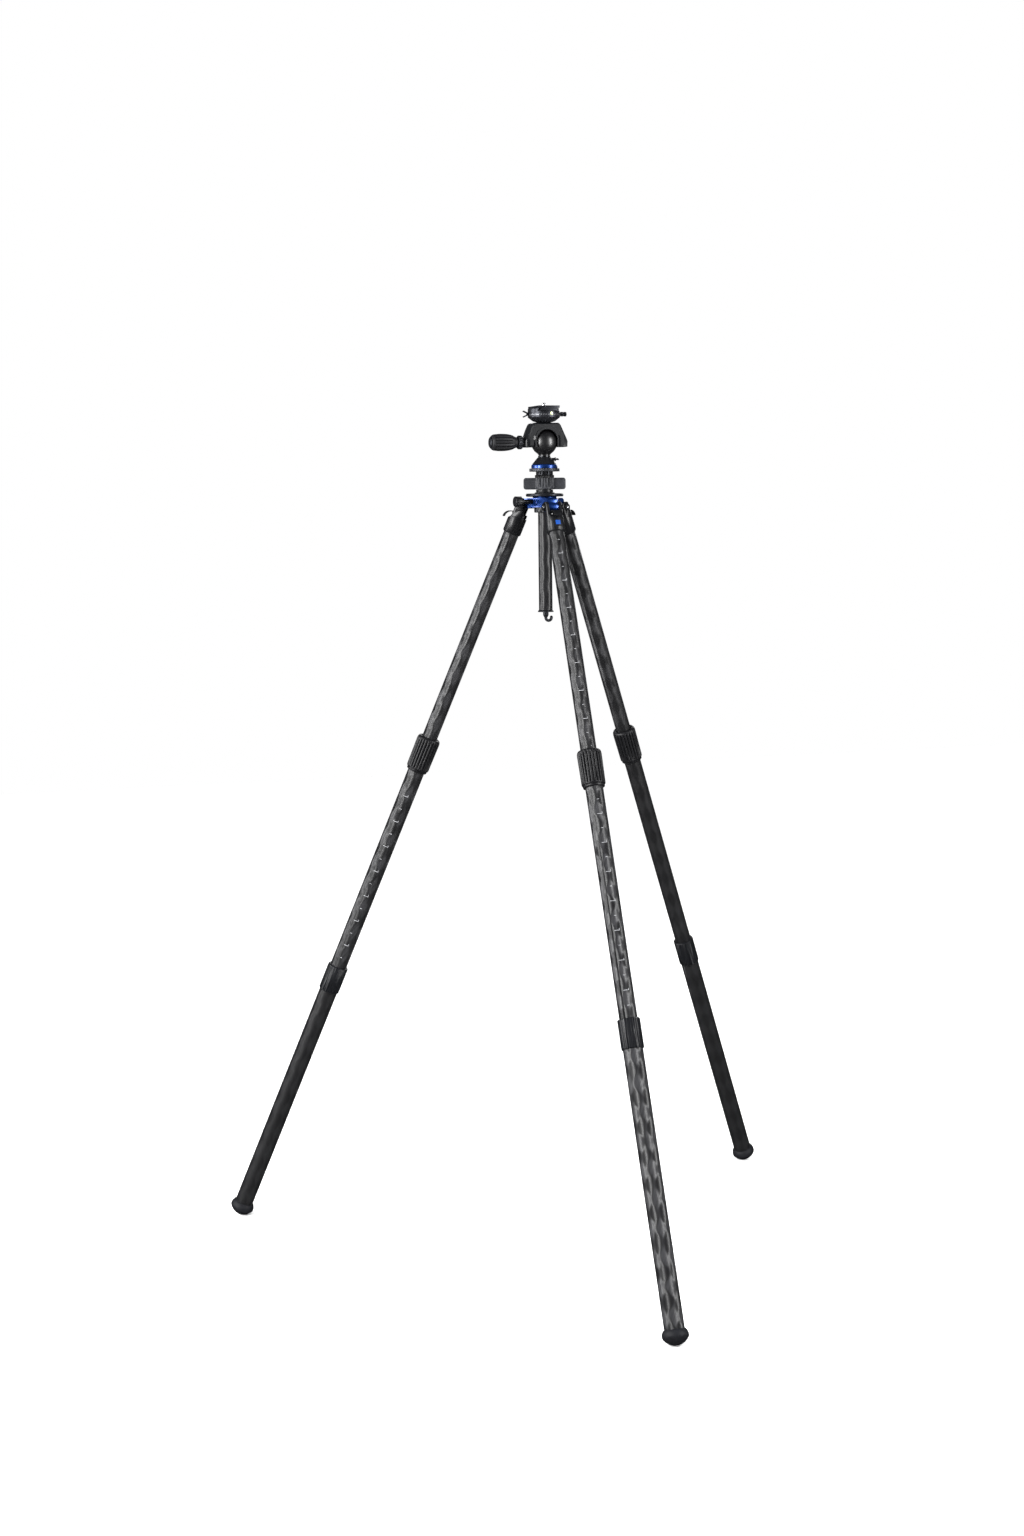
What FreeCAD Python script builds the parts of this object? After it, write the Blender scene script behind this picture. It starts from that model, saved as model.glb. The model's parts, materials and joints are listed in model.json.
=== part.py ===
import FreeCAD, Part
import math
import os
import re
import Sketcher

# Three-legged camera stand with reverse-telescoping legs, a sliding centre column and a ball-mounted
# pan and tilt head. Millimetres, +Z up, floor at z = 0, the origin under the middle of the stance.
# The pan handle points along -X, the front leg along -Y. Heights of the crown, the column and the
# head are counted from the height of the leg pivots; places along a leg run down from its pivot.

os.makedirs("parts", exist_ok=True)
doc = FreeCAD.newDocument("CameraTripod")
sheet = doc.addObject("Spreadsheet::Sheet", "Dim")

dimensions = {
    # stance
    "pivotRadius": 41.4, "spreadAngle": 23, "firstAzimuth": 150, "legStep": 120,
    # leg tubes: outer radii, the sliding gap between one tube and the next, ends along the leg
    "upperRadius": 13.75, "middleRadius": 15.2, "lowerRadius": 16.75, "slideGap": 0.3, "upperBore": 12.5,
    "upperStart": 24.5, "upperEnd": 540, "middleStart": 451, "middleEnd": 985,
    "lowerStart": 911, "lowerEnd": 1399,
    # twist locks
    "upperLockStart": 444, "upperLockEnd": 509.5, "upperLockRadius": 21.2, "upperLockTaper": 0.8,
    "upperLockShoulder": 8, "lockLip": 6, "lockFluteRadius": 1.5, "lockFlutes": 22,
    "lowerLockStart": 903.5, "lowerLockEnd": 953.5, "lowerLockRadius": 18.9, "lockChamfer": 1.2,
    # rubber foot
    "footRadius": 21.8, "footNeckRadius": 17.6, "footFlare": 9.5, "domeRadius": 24.35, "domeDepth": 1.15,
    "footPlug": 14,
    # leg casting and its two ears
    "castingRadius": 16.3, "castingStart": 18, "castingEnd": 49, "earRadius": 9.5, "earInner": 9.3,
    "earOuter": 14.8, "slotFloor": 17, "boltRadius": 4, "boltHeadRadius": 6.3, "boltHeadStart": 15.1,
    "boltHeadEnd": 18.2, "runGap": 0.05, "badgeSize": 13.5, "badgeMiddle": 35, "badgeDepth": 0.6,
    # angle tab
    "tabOut": 8.6, "tabDown": 12.4, "tabBarrel": 2.8, "tabWidth": 16, "tabSheet": 1.8,
    # spider
    "hubRadius": 21, "hubTop": 18.4, "hubBore": 14.5, "lugRadius": 8, "lugWidth": 18.2, "armHeight": 16,
    "wallThickness": 4.5, "wallLength": 44, "windowRadius": 5.8,
    # crown plate, bushing, lock base
    "plateRadius": 33, "plateTop": 24, "bushingFlange": 18.6, "bushingLow": -9.3, "bushingSleeve": 14.45,
    "baseRadius": 17.5, "baseNeck": 15, "baseStep": 26.5, "baseTop": 30.6,
    # side knob
    "knobAzimuth": 185, "knobHeight": 10, "knobStem": 4, "knobRadius": 9.4, "knobInner": 45.5, "knobOuter": 57.5,
    # centre column
    "columnRadius": 12, "columnBore": 10.4, "columnLow": -180, "columnHigh": 56.2, "capRadius": 13.9,
    "capLow": -183.6, "neckRadius": 14.9, "neckCore": 11.6, "flangeRadius": 26.6, "flangeLow": 62.2,
    "flangeHigh": 67.4, "studRadius": 4.76, "studTop": 84,
    # column lock with two wings
    "lockLow": 30.9, "lockHigh": 51.4, "lockHub": 15.5, "wingReach": 37, "wingThickness": 5.2,
    "capRingRadius": 16.85, "capRingHigh": 56,
    # weight hook
    "hookRing": 5.2, "hookWire": 2.6, "hookShank": 4.9, "hookLevel": -193.8,
    # pan base
    "ringRadius": 23.1, "ringHigh": 74.6, "coneTopRadius": 12, "coneHigh": 87.2, "stemRadius": 9.8,
    "collarRadius": 10.9, "leverAzimuth": -25, "leverHeight": 83.2,
    # ball, cup and housing
    "ballLevel": 112.7, "ballRadius": 22.8, "ballGap": 0.3, "cupThickness": 1.9, "archRadius": 18.9,
    "archRise": 3.6, "housingHalf": 38.7, "housingDepth": 17, "housingLow": -8, "housingTop": 33.6,
    "rearBoss": 27.6, "shoulderHalf": 21,
    # handle
    "rodRadius": 5, "gripRadius": 15.1, "gripStart": -51, "gripEnd": -97.5, "collarKnurl": 12,
    "collarEnd": 48.8,
    # clamp and quick release plate
    "bowlLow": 146.8, "bowlRadius": 28.2, "bowlStep": 156, "clampTop": 171.4, "grooveFloor": 166.4,
    "plateHalfWidth": 19, "plateHalfLength": 30, "plateThick": 4, "dovetailHalf": 16.5, "jawStart": 17.5,
    "jawTravel": 3, "clampKnobAxis": 161.6, "screwRadius": 3.175, "screwNeck": 2.6,
    "screwRise": 5.6, "leverScrew": 2.6,
}
for row, (word, size) in enumerate(dimensions.items(), start=1):
    sheet.set("A%d" % row, word)
    sheet.set("B%d" % row, str(size))
    sheet.setAlias("B%d" % row, word)
doc.recompute()

# Sizes that follow from the driving ones.
derived = {
    "footCentre": "lowerEnd + domeDepth",
    "pivotHeight": "footCentre * cos(spreadAngle) + domeRadius",
    "footReach": "pivotRadius + footCentre * sin(spreadAngle)",
    "columnY": "footReach / 4",
    "middleBore": "upperRadius + slideGap",
    "lowerBore": "middleRadius + slideGap",
    "columnHole": "columnRadius + slideGap",
    "cupInner": "ballRadius + ballGap",
    "cupOuter": "cupInner + cupThickness",
    "cavityRadius": "cupOuter + ballGap",
    "plateLow": "clampTop + runGap",
    "plateHigh": "plateLow + plateThick",
}


def formula(text):
    """A formula in the sheet's words, written out for an expression."""
    def word(found):
        name = found.group()
        if name in derived:
            return "(" + formula(derived[name]) + ")"
        return "Dim." + name if name in dimensions else name
    return re.sub(r"[A-Za-z_]\w*", word, str(text))


def value(text):
    return float(sheet.evalExpression(formula(text) + " * 1.0"))


def bind(thing, **sizes):
    for name, text in sizes.items():
        thing.setExpression(name, formula(text))
    return thing


def at(x=0, y=0, z=0, *turns):
    """Placement formula: a point, then turns as (axis letter, angle), the first one outermost."""
    axes = {"X": "vector(1; 0; 0)", "Y": "vector(0; 1; 0)", "Z": "vector(0; 0; 1)"}
    spins = ["rotation(%s; %s)" % (axes[axis], angle) for axis, angle in turns] or ["rotation(vector(0; 0; 1); 0)"]
    return formula("placement(vector(%s; %s; %s); %s)" % (x, y, z, " * ".join(spins)))


def put(thing, place):
    thing.setExpression("Placement", place)
    return thing


# Where each family of pieces has its own zero.
crownPlace = at(0, "columnY", "pivotHeight")
ballPlace = at(0, "columnY", "pivotHeight + ballLevel")
legNames = ["left", "front", "right"]


def legAzimuth(number):
    return "(firstAzimuth + %d * legStep)" % number


def legPlace(number):
    """Frame of a leg: zero on the pivot, +Z up the leg, +X outwards, +Y along the pivot bolt."""
    turn = legAzimuth(number)
    return at("pivotRadius * cos%s" % turn, "columnY + pivotRadius * sin%s" % turn, "pivotHeight",
              ("Z", turn), ("Y", "(-spreadAngle)"))


nodes = []


def node(label, thing, place):
    """Names a finished sub-part and sets it in its place in the assembly."""
    put(thing, place)
    thing.Label = label
    nodes.append(thing)
    return thing


def attach(sketch, body, role):
    plane = [item for item in body.Origin.OriginFeatures if item.Role == role][0]
    sketch.AttachmentSupport = [(plane, "")]
    sketch.MapMode = "FlatFace"


def drawOutline(sketch, outline):
    """Closed outline of (across, up) formulas; a third entry is the radius of an arc to the next point,
    bulging to the right of the direction of travel if it is positive, to the left if negative."""
    points = [FreeCAD.Vector(value(item[0]), value(item[1]), 0) for item in outline]
    count = len(points)
    ends = []
    for index, item in enumerate(outline):
        start, stop = points[index], points[(index + 1) % count]
        if len(item) == 2:
            sketch.addGeometry(Part.LineSegment(start, stop), False)
            ends.append((1, 2))
            continue
        radius = value(item[2])
        half = (stop - start) * 0.5
        offset = math.sqrt(max(radius ** 2 - half.Length ** 2, 0))
        side = FreeCAD.Vector(half.y, -half.x, 0).normalize() * math.copysign(1, radius)
        centre = start + half - side * offset
        top = centre + side * abs(radius)
        if radius > 0:
            sketch.addGeometry(Part.Arc(start, top, stop), False)
            ends.append((1, 2))
        else:
            sketch.addGeometry(Part.Arc(stop, top, start), False)
            ends.append((2, 1))
    for index in range(count):
        following = (index + 1) % count
        sketch.addConstraint(Sketcher.Constraint("Coincident", index, ends[index][1], following,
                                                 ends[following][0]))
    for index, item in enumerate(outline):
        end = ends[index][0]
        if str(item[0]) == "0":
            sketch.addConstraint(Sketcher.Constraint("PointOnObject", index, end, -2))
        else:
            which = sketch.addConstraint(Sketcher.Constraint("DistanceX", -1, 1, index, end, points[index].x))
            sketch.setExpression("Constraints[%d]" % which, formula(item[0]))
        which = sketch.addConstraint(Sketcher.Constraint("DistanceY", -1, 1, index, end, points[index].y))
        sketch.setExpression("Constraints[%d]" % which, formula(item[1]))
        if len(item) == 3:
            which = sketch.addConstraint(Sketcher.Constraint("Radius", index, abs(value(item[2]))))
            sketch.setExpression("Constraints[%d]" % which, formula("abs(%s)" % item[2]))


def turned(name, outline):
    """Body turned about its own Z axis from (radius, height) formulas."""
    body = doc.addObject("PartDesign::Body", name)
    sketch = body.newObject("Sketcher::SketchObject", name + "Outline")
    attach(sketch, body, "XZ_Plane")
    drawOutline(sketch, outline)
    turning = body.newObject("PartDesign::Revolution", name + "Turning")
    turning.Profile = sketch
    turning.ReferenceAxis = (sketch, ["V_Axis"])
    turning.Angle = 360
    return body


def ringOf(name, outer, inner, low, high):
    return turned(name, [(inner, low), (outer, low), (outer, high), (inner, high)])


def padded(name, outline, depth, plane="XZ_Plane"):
    """Body of a flat outline, thickened equally to both sides of its plane."""
    body = doc.addObject("PartDesign::Body", name)
    sketch = body.newObject("Sketcher::SketchObject", name + "Outline")
    attach(sketch, body, plane)
    drawOutline(sketch, outline)
    pad = body.newObject("PartDesign::Pad", name + "Pad")
    pad.Profile = sketch
    pad.Midplane = True
    bind(pad, Length=depth)
    return body


def grooves(body, name, count, along, outline, low, length):
    """Repeats a pocket round the body's axis: a circle (place, radius) or a slot (inner, outer, width)."""
    doc.recompute()
    before = body.Shape.Volume
    sketch = body.newObject("Sketcher::SketchObject", name + "Sketch")
    attach(sketch, body, "XY_Plane")
    sketch.setExpression("AttachmentOffset.Base.z", formula(low))
    if along == "circle":
        place, radius = outline
        sketch.addGeometry(Part.Circle(FreeCAD.Vector(value(place), 0, 0), FreeCAD.Vector(0, 0, 1),
                                       value(radius)), False)
        sketch.addConstraint(Sketcher.Constraint("PointOnObject", 0, 3, -1))
        which = sketch.addConstraint(Sketcher.Constraint("DistanceX", -1, 1, 0, 3, value(place)))
        sketch.setExpression("Constraints[%d]" % which, formula(place))
        which = sketch.addConstraint(Sketcher.Constraint("Radius", 0, value(radius)))
        sketch.setExpression("Constraints[%d]" % which, formula(radius))
    else:
        inner, outer, width = outline
        side = "(%s) / 2" % width
        back = "-(%s) / 2" % width
        drawOutline(sketch, [(inner, back), (outer, back), (outer, side), (inner, side)])
    pocket = body.newObject("PartDesign::Pocket", name)
    pocket.Profile = sketch
    pocket.Reversed = True
    bind(pocket, Length=length)
    pattern = body.newObject("PartDesign::PolarPattern", name + "Round")
    pattern.Originals = [pocket]
    axis = [item for item in body.Origin.OriginFeatures if item.Role == "Z_Axis"][0]
    pattern.Axis = (axis, [""])
    pattern.Angle = 360
    bind(pattern, Occurrences=count)
    body.Tip = pattern
    doc.recompute()
    if body.Shape.Volume >= before - 0.01:
        raise RuntimeError(name + " cuts nothing")
    return body


def box(name, x, y, z, place=None):
    """Box of (low, high) formulas along its own X, Y and Z."""
    thing = doc.addObject("Part::Box", name)
    bind(thing, Length="(%s) - (%s)" % (x[1], x[0]), Width="(%s) - (%s)" % (y[1], y[0]),
         Height="(%s) - (%s)" % (z[1], z[0]))
    corner = (x[0], y[0], z[0])
    if place is None:
        return put(thing, at(*corner))
    return put(thing, place + " * " + at(*corner))


def rod(name, radius, length, place):
    """Cylinder from its place along the place's own Z."""
    return put(bind(doc.addObject("Part::Cylinder", name), Radius=radius, Height=length), place)


def fuse(name, *things):
    joined = doc.addObject("Part::MultiFuse", name)
    joined.Shapes = list(things)
    joined.Refine = True
    return joined


def cut(name, base, *tools):
    result = doc.addObject("Part::Cut", name)
    result.Base = base
    result.Tool = tools[0] if len(tools) == 1 else fuse(name + "Tools", *tools)
    result.Refine = True
    return result


def common(name, first, second):
    result = doc.addObject("Part::Common", name)
    result.Base = first
    result.Tool = second
    result.Refine = True
    return result


# ---- legs ----


def legCasting(number):
    """Shoulder casting: a tube socket below, two round ears round the pivot bolt above."""
    name = "casting%d" % number
    barrel = turned(name + "Barrel", [
        ("upperRadius + runGap", "-castingEnd"), ("castingRadius - 1.6", "-castingEnd"),
        ("castingRadius", "-castingEnd + 2.4"), ("castingRadius", "-castingStart"),
        (0, "-castingStart"), (0, "-upperStart"), ("upperRadius + runGap", "-upperStart")])
    earTop = rod(name + "EarTop", "earRadius", "2 * earOuter", at(0, "-earOuter", 0, ("X", -90)))
    earStem = box(name + "EarStem", ("-earRadius", "earRadius"), ("-earOuter", "earOuter"),
                  ("-castingStart - 1", 0))
    heel = box(name + "Heel", ("-castingRadius", 0), ("-earOuter", "earOuter"), ("-castingStart - 2", "-11"))
    rounding = rod(name + "Rounding", "castingRadius", "castingStart + earRadius + 4",
                   at(0, 0, "-castingStart - 3"))
    ears = common(name + "Ears", fuse(name + "EarBlank", earTop, earStem, heel), rounding)
    slot = box(name + "Slot", ("-30", "30"), ("-earInner", "earInner"), ("-slotFloor", "20"))
    bore = rod(name + "Bore", "boltRadius + runGap", "4 * earOuter", at(0, "-2 * earOuter", 0, ("X", -90)))
    chamfer = box(name + "Chamfer", ("0", "20"), ("-20", "20"), ("0", "20"),
                  at("castingRadius - 6", 0, "-castingStart - 1.2", ("Y", 42)))
    blank = fuse(name + "Blank", barrel, ears)
    return node("leg_casting_" + legNames[number], cut(name + "Cut", blank, slot, bore, chamfer),
                legPlace(number))


def angleTab(number):
    """Spring-loaded angle stop: a barrel between the ears with a thin curled thumb tab."""
    name = "tab%d" % number
    barrel = rod(name + "Barrel", "tabBarrel", "tabWidth", at("tabOut", "-tabWidth / 2", "-tabDown", ("X", -90)))
    sheetOutline = [
        ("tabOut + 1", "-tabDown + tabBarrel - 0.1"), ("tabOut + 1", "-tabDown + tabBarrel - tabSheet"),
        ("castingRadius + 1.4", "-castingStart + 3.2", -12), ("castingRadius + 7.4", "-castingStart - 8"),
        ("castingRadius + 8.9", "-castingStart - 7.2", 14), ("castingRadius + 2.2", "-castingStart + 4.9")]
    thumb = padded(name + "Thumb", sheetOutline, "tabWidth")
    return node("angle_tab_" + legNames[number], fuse(name + "Whole", barrel, thumb), legPlace(number))


def upperLock(number):
    """Fluted twist collar over the joint of the upper and middle tubes."""
    name = "upperLock%d" % number
    low, high, reach = "-upperLockEnd", "-upperLockStart", "upperLockRadius"
    collar = turned(name, [
        ("lowerBore", low), (reach + " - upperLockTaper - 1.2", low), (reach + " - upperLockTaper", low + " + 1.8"),
        (reach, high + " - upperLockShoulder", "upperLockShoulder * 1.1"), (reach + " - 3.4", high),
        ("middleBore", high), ("middleBore", high + " - lockLip"), ("lowerBore", high + " - lockLip")])
    grooves(collar, name + "Flute", "lockFlutes", "circle", (reach + " + 0.35", "lockFluteRadius"),
            low + " + 4", "upperLockEnd - upperLockStart - upperLockShoulder - 5")
    return node("upper_lock_" + legNames[number], collar, legPlace(number))


def lowerLock(number):
    """Smooth twist collar over the joint of the middle and lower tubes."""
    low, high, reach = "-lowerLockEnd", "-lowerLockStart", "lowerLockRadius"
    collar = turned("lowerLock%d" % number, [
        ("lowerRadius + slideGap", low), (reach + " - lockChamfer", low), (reach, low + " + lockChamfer"),
        (reach, high + " - lockChamfer"), (reach + " - lockChamfer", high), ("lowerBore", high),
        ("lowerBore", high + " - lockLip"), ("lowerRadius + slideGap", high + " - lockLip")])
    return node("lower_lock_" + legNames[number], collar, legPlace(number))


def foot(number):
    """Rubber foot: a plug in the tube, a flared skirt and a shallow dome to stand on."""
    end = "-lowerEnd"
    shape = turned("foot%d" % number, [
        (0, end + " - domeDepth - domeRadius", "domeRadius"),
        ("footRadius", end + " - domeDepth - sqrt(domeRadius ^ 2 - footRadius ^ 2)"),
        ("footRadius", end + " - footFlare", 14), ("footNeckRadius", end),
        ("lowerBore - runGap", end), ("lowerBore - runGap", end + " + footPlug"), (0, end + " + footPlug")])
    return node("foot_" + legNames[number], shape, legPlace(number))


for number in range(3):
    side = legNames[number]
    legCasting(number)
    angleTab(number)
    node("upper_tube_" + side, ringOf("upperTube%d" % number, "upperRadius", "upperBore", "-upperEnd",
                                      "-upperStart"), legPlace(number))
    upperLock(number)
    node("middle_tube_" + side, ringOf("middleTube%d" % number, "middleRadius", "middleBore", "-middleEnd",
                                       "-middleStart"), legPlace(number))
    lowerLock(number)
    node("lower_tube_" + side, ringOf("lowerTube%d" % number, "lowerRadius", "lowerBore", "-lowerEnd",
                                      "-lowerStart"), legPlace(number))
    foot(number)

# Plain square badge, bent round the outer face of the front leg's casting.
badgeShell = ringOf("badgeShell", "castingRadius + badgeDepth", "castingRadius", "-badgeMiddle - badgeSize / 2",
                    "-badgeMiddle + badgeSize / 2")
badgeWindow = box("badgeWindow", ("0", "40"), ("-badgeSize / 2", "badgeSize / 2"), ("-60", "0"))
node("leg_badge", common("badge", badgeShell, badgeWindow), legPlace(1))

# ---- crown ----


def spider():
    """Three-lug crown casting: a hub, an arm and a lug for each leg, and pierced walls between them."""
    solids = [rod("hub", "hubRadius", "hubTop", at(0, 0, 0))]
    cuts = [rod("hubHole", "hubBore", "2 * hubTop", at(0, 0, "-hubTop / 2"))]
    for number in range(3):
        turn = legAzimuth(number)
        arm = box("arm%d" % number, ("bushingFlange + 0.6", "pivotRadius"), ("-lugWidth / 2", "lugWidth / 2"),
                  ("-2", "armHeight"), at(0, 0, 0, ("Z", turn)))
        lug = rod("lug%d" % number, "lugRadius", "lugWidth",
                  at("pivotRadius * cos%s" % turn, "pivotRadius * sin%s" % turn, 0, ("Z", turn), ("X", 90))
                  + " * " + at(0, 0, "-lugWidth / 2"))
        middle = "(%s + legStep / 2)" % turn
        wall = box("wall%d" % number, ("pivotRadius / 2 - wallThickness / 2", "pivotRadius / 2 + wallThickness / 2"),
                   ("-wallLength / 2", "wallLength / 2"), ("0", "armHeight"), at(0, 0, 0, ("Z", middle)))
        slope = box("slope%d" % number, ("0", "60"), ("-30", "30"), ("0", "40"),
                    at(0, 0, 0, ("Z", turn)) + " * " + at("pivotRadius - 4", 0, "armHeight", ("Y", 38)))
        bolt = rod("lugHole%d" % number, "boltRadius + runGap", "2 * lugWidth",
                   at("pivotRadius * cos%s" % turn, "pivotRadius * sin%s" % turn, 0, ("Z", turn), ("X", 90))
                   + " * " + at(0, 0, "-lugWidth"))
        window = doc.addObject("Part::Prism", "window%d" % number)
        window.Polygon = 3
        bind(window, Circumradius="windowRadius", Height="30")
        put(window, at(0, 0, 0, ("Z", middle)) + " * " + at("hubRadius - 1.2", 0, 8.8, ("Y", 90)))
        solids += [arm, lug, wall]
        cuts += [bolt, window, slope]
    cuts.append(rod("stemHole", "knobStem + runGap", "40", at(0, 0, "knobHeight", ("Z", "knobAzimuth"), ("Y", 90))))
    return node("spider", cut("spiderCut", fuse("spiderBlank", *solids), *cuts), crownPlace)


spider()
node("crown_plate", turned("crownPlate", [
    ("bushingSleeve + runGap", "hubTop + 0.1"), ("plateRadius - 1.5", "hubTop + 0.1"), ("plateRadius", "hubTop + 1.6"),
    ("plateRadius", "plateTop - 1.5"), ("plateRadius - 1.5", "plateTop"), ("bushingSleeve + runGap", "plateTop")]),
    crownPlace)
node("column_bushing", turned("bushing", [
    ("columnRadius + 2 * runGap", "bushingLow"), ("bushingFlange - 1", "bushingLow"),
    ("bushingFlange", "bushingLow + 1"), ("bushingFlange", "-0.05"), ("bushingSleeve", "-0.05"),
    ("bushingSleeve", "plateTop"), ("columnRadius + 2 * runGap", "plateTop")]), crownPlace)
node("lock_base", turned("lockBase", [
    ("columnHole", "plateTop + 0.05"), ("baseRadius", "plateTop + 0.05"), ("baseRadius", "baseStep - 1.2"),
    ("baseNeck", "baseStep"), ("baseNeck", "baseTop"), ("columnHole", "baseTop")]), crownPlace)


def pivotBolt(number):
    """Shoulder bolt through both ears and the lug, with a hex recess in its head."""
    bolt = turned("pivotBolt%d" % number, [
        (0, "-boltHeadEnd"), ("boltHeadRadius - 0.8", "-boltHeadEnd"), ("boltHeadRadius", "-boltHeadEnd + 0.8"),
        ("boltHeadRadius", "-boltHeadStart"), ("boltRadius", "-boltHeadStart"), ("boltRadius", "boltHeadStart"),
        ("boltHeadRadius", "boltHeadStart"), ("boltHeadRadius", "boltHeadEnd - 0.8"),
        ("boltHeadRadius - 0.8", "boltHeadEnd"), (0, "boltHeadEnd")])
    recess = doc.addObject("Part::Prism", "recess%d" % number)
    recess.Polygon = 6
    bind(recess, Circumradius="boltHeadRadius / 2", Height="4")
    put(recess, at(0, 0, "boltHeadEnd - 1.6"))
    turn = legAzimuth(number)
    finished = cut("pivotBoltCut%d" % number, bolt, recess)
    return put(finished, at("pivotRadius * cos%s" % turn, "pivotRadius * sin%s" % turn, 0, ("Z", turn), ("X", 90)))


bolts = doc.addObject("Part::Compound", "pivotBolts")
bolts.Links = [pivotBolt(number) for number in range(3)]
node("leg_pivot_bolts", bolts, crownPlace)

sideKnob = turned("sideKnob", [
    (0, "hubBore + 0.2"), ("knobStem", "hubBore + 0.2"), ("knobStem", "knobInner - 4"),
    ("knobRadius - 3", "knobInner - 4"), ("knobRadius - 3", "knobInner"), ("knobRadius", "knobInner"),
    ("knobRadius", "knobOuter - 1"), ("knobRadius - 1", "knobOuter"), (0, "knobOuter")])
grooves(sideKnob, "sideKnobFlute", 10, "circle", ("knobRadius + 0.4", 1.5), "knobInner - 1",
        "knobOuter - knobInner + 3")
node("side_knob", sideKnob, at(0, "columnY", "pivotHeight + knobHeight", ("Z", "knobAzimuth"), ("Y", 90)))

# ---- column lock ----


def columnLock():
    """Winged collar that clamps the column: a ribbed hub and two flat thumb wings."""
    hub = ringOf("lockHubRing", "lockHub", "columnHole", "lockLow", "lockHigh")
    grooves(hub, "lockRib", 18, "circle", ("lockHub + 0.5", 1.2), "lockLow + 2", "lockHigh - lockLow - 1")
    wings = padded("lockWings", [
        ("-wingReach", "lockLow + 3.5"), ("-wingReach + 3.5", "lockLow"), ("wingReach - 3.5", "lockLow"),
        ("wingReach", "lockLow + 3.5"), ("wingReach", "lockHigh - 3.5"), ("wingReach - 3.5", "lockHigh"),
        ("-wingReach + 3.5", "lockHigh"), ("-wingReach", "lockHigh - 3.5")], "wingThickness")
    clear = rod("lockClear", "lockHub - 1", "100", at())
    sides = cut("lockSides", wings, clear)
    return fuse("columnLockWhole", hub, sides)


node("column_lock", columnLock(), at(0, "columnY", "pivotHeight", ("Z", -19)))
capRing = ringOf("capRing", "capRingRadius", "columnHole", "lockHigh + 0.1", "capRingHigh")
grooves(capRing, "capRingFlute", 24, "circle", ("capRingRadius + 0.5", 1.1), "lockHigh - 1", 8)
node("lock_cap_ring", capRing, crownPlace)

# ---- column ----
node("column_tube", ringOf("columnTube", "columnRadius", "columnBore", "columnLow", "columnHigh"), crownPlace)
node("column_end_cap", turned("endCap", [
    (3.05, "capLow"), ("capRadius", "capLow"), ("capRadius", "capLow + 1.4"), ("columnRadius", "columnLow"),
    ("columnBore - runGap", "columnLow"), ("columnBore - runGap", "columnLow + 12"), (3.05, "columnLow + 12")]),
    crownPlace)
columnHead = turned("columnHead", [
    ("studRadius + runGap", "columnHigh - 16"), ("columnBore - runGap", "columnHigh - 16"),
    ("columnBore - runGap", "columnHigh"), ("neckRadius", "columnHigh"), ("neckRadius", "flangeLow"),
    ("flangeRadius", "flangeLow"), ("flangeRadius", "flangeHigh"), ("studRadius + runGap", "flangeHigh")])
grooves(columnHead, "neckSlot", 16, "slot", ("neckCore", 18, 2.7), "columnHigh + 0.6", "flangeLow - columnHigh - 0.6")
grooves(columnHead, "flangeKnurl", 54, "circle", ("flangeRadius + 0.45", 0.9), "flangeLow - 1", 9)
neckHollow = ringOf("neckHollow", "neckCore + 0.6", "studRadius + 1.4", "columnHigh + 0.6", "flangeLow")
node("column_head", cut("columnHeadCut", columnHead, neckHollow), crownPlace)
node("head_stud", turned("headStud", [
    (0, "columnHigh - 14"), ("studRadius - 0.8", "columnHigh - 14"), ("studRadius", "columnHigh - 13.2"),
    ("studRadius", "studTop - 0.8"), ("studRadius - 0.8", "studTop"), (0, "studTop")]), crownPlace)
node("pan_ring", turned("panRing", [
    ("studRadius + runGap", "flangeHigh + 0.05"), ("ringRadius - 0.6", "flangeHigh + 0.05"),
    ("ringRadius", "flangeHigh + 0.8"), ("ringRadius", "ringHigh - 2"), ("ringRadius - 1.2", "ringHigh"),
    ("studRadius + runGap", "ringHigh")]), crownPlace)


def weightHook():
    """J hook on a swivel stub; its throat opens upwards on the +X side."""
    stub = turned("hookStub", [
        (0, "hookLevel"), ("hookWire", "hookLevel"), ("hookShank", "hookLevel + 4.5"), ("hookShank", "capLow - 0.3"),
        (3, "capLow - 0.3"), (3, "columnLow + 8"), (0, "columnLow + 8")])
    curl = doc.addObject("Part::Torus", "hookCurl")
    bind(curl, Radius1="hookRing", Radius2="hookWire")
    curl.Angle3 = 190
    put(curl, at("hookRing", 0, "hookLevel", ("X", 90), ("Z", 180)))
    tip = put(bind(doc.addObject("Part::Sphere", "hookTip"), Radius="hookWire"),
              at("hookRing * (1 + cos(10))", 0, "hookLevel + hookRing * sin(10)"))
    return node("weight_hook", fuse("hookWhole", stub, curl, tip), crownPlace)


weightHook()

# ---- pan base ----
coneBlank = turned("panCone", [
    ("stemRadius + runGap", "ringHigh + 0.2"), ("ringRadius - 1.4", "ringHigh + 0.2"),
    ("coneTopRadius + 0.6", "coneHigh - 1.6"), ("coneTopRadius - 0.8", "coneHigh"),
    ("stemRadius + runGap", "coneHigh")])
leverHole = rod("leverHole", "leverScrew + runGap", "40",
                at(0, 0, "leverHeight", ("Z", "leverAzimuth"), ("Y", 90)))
node("pan_cone", cut("panConeCut", coneBlank, leverHole), crownPlace)


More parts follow.
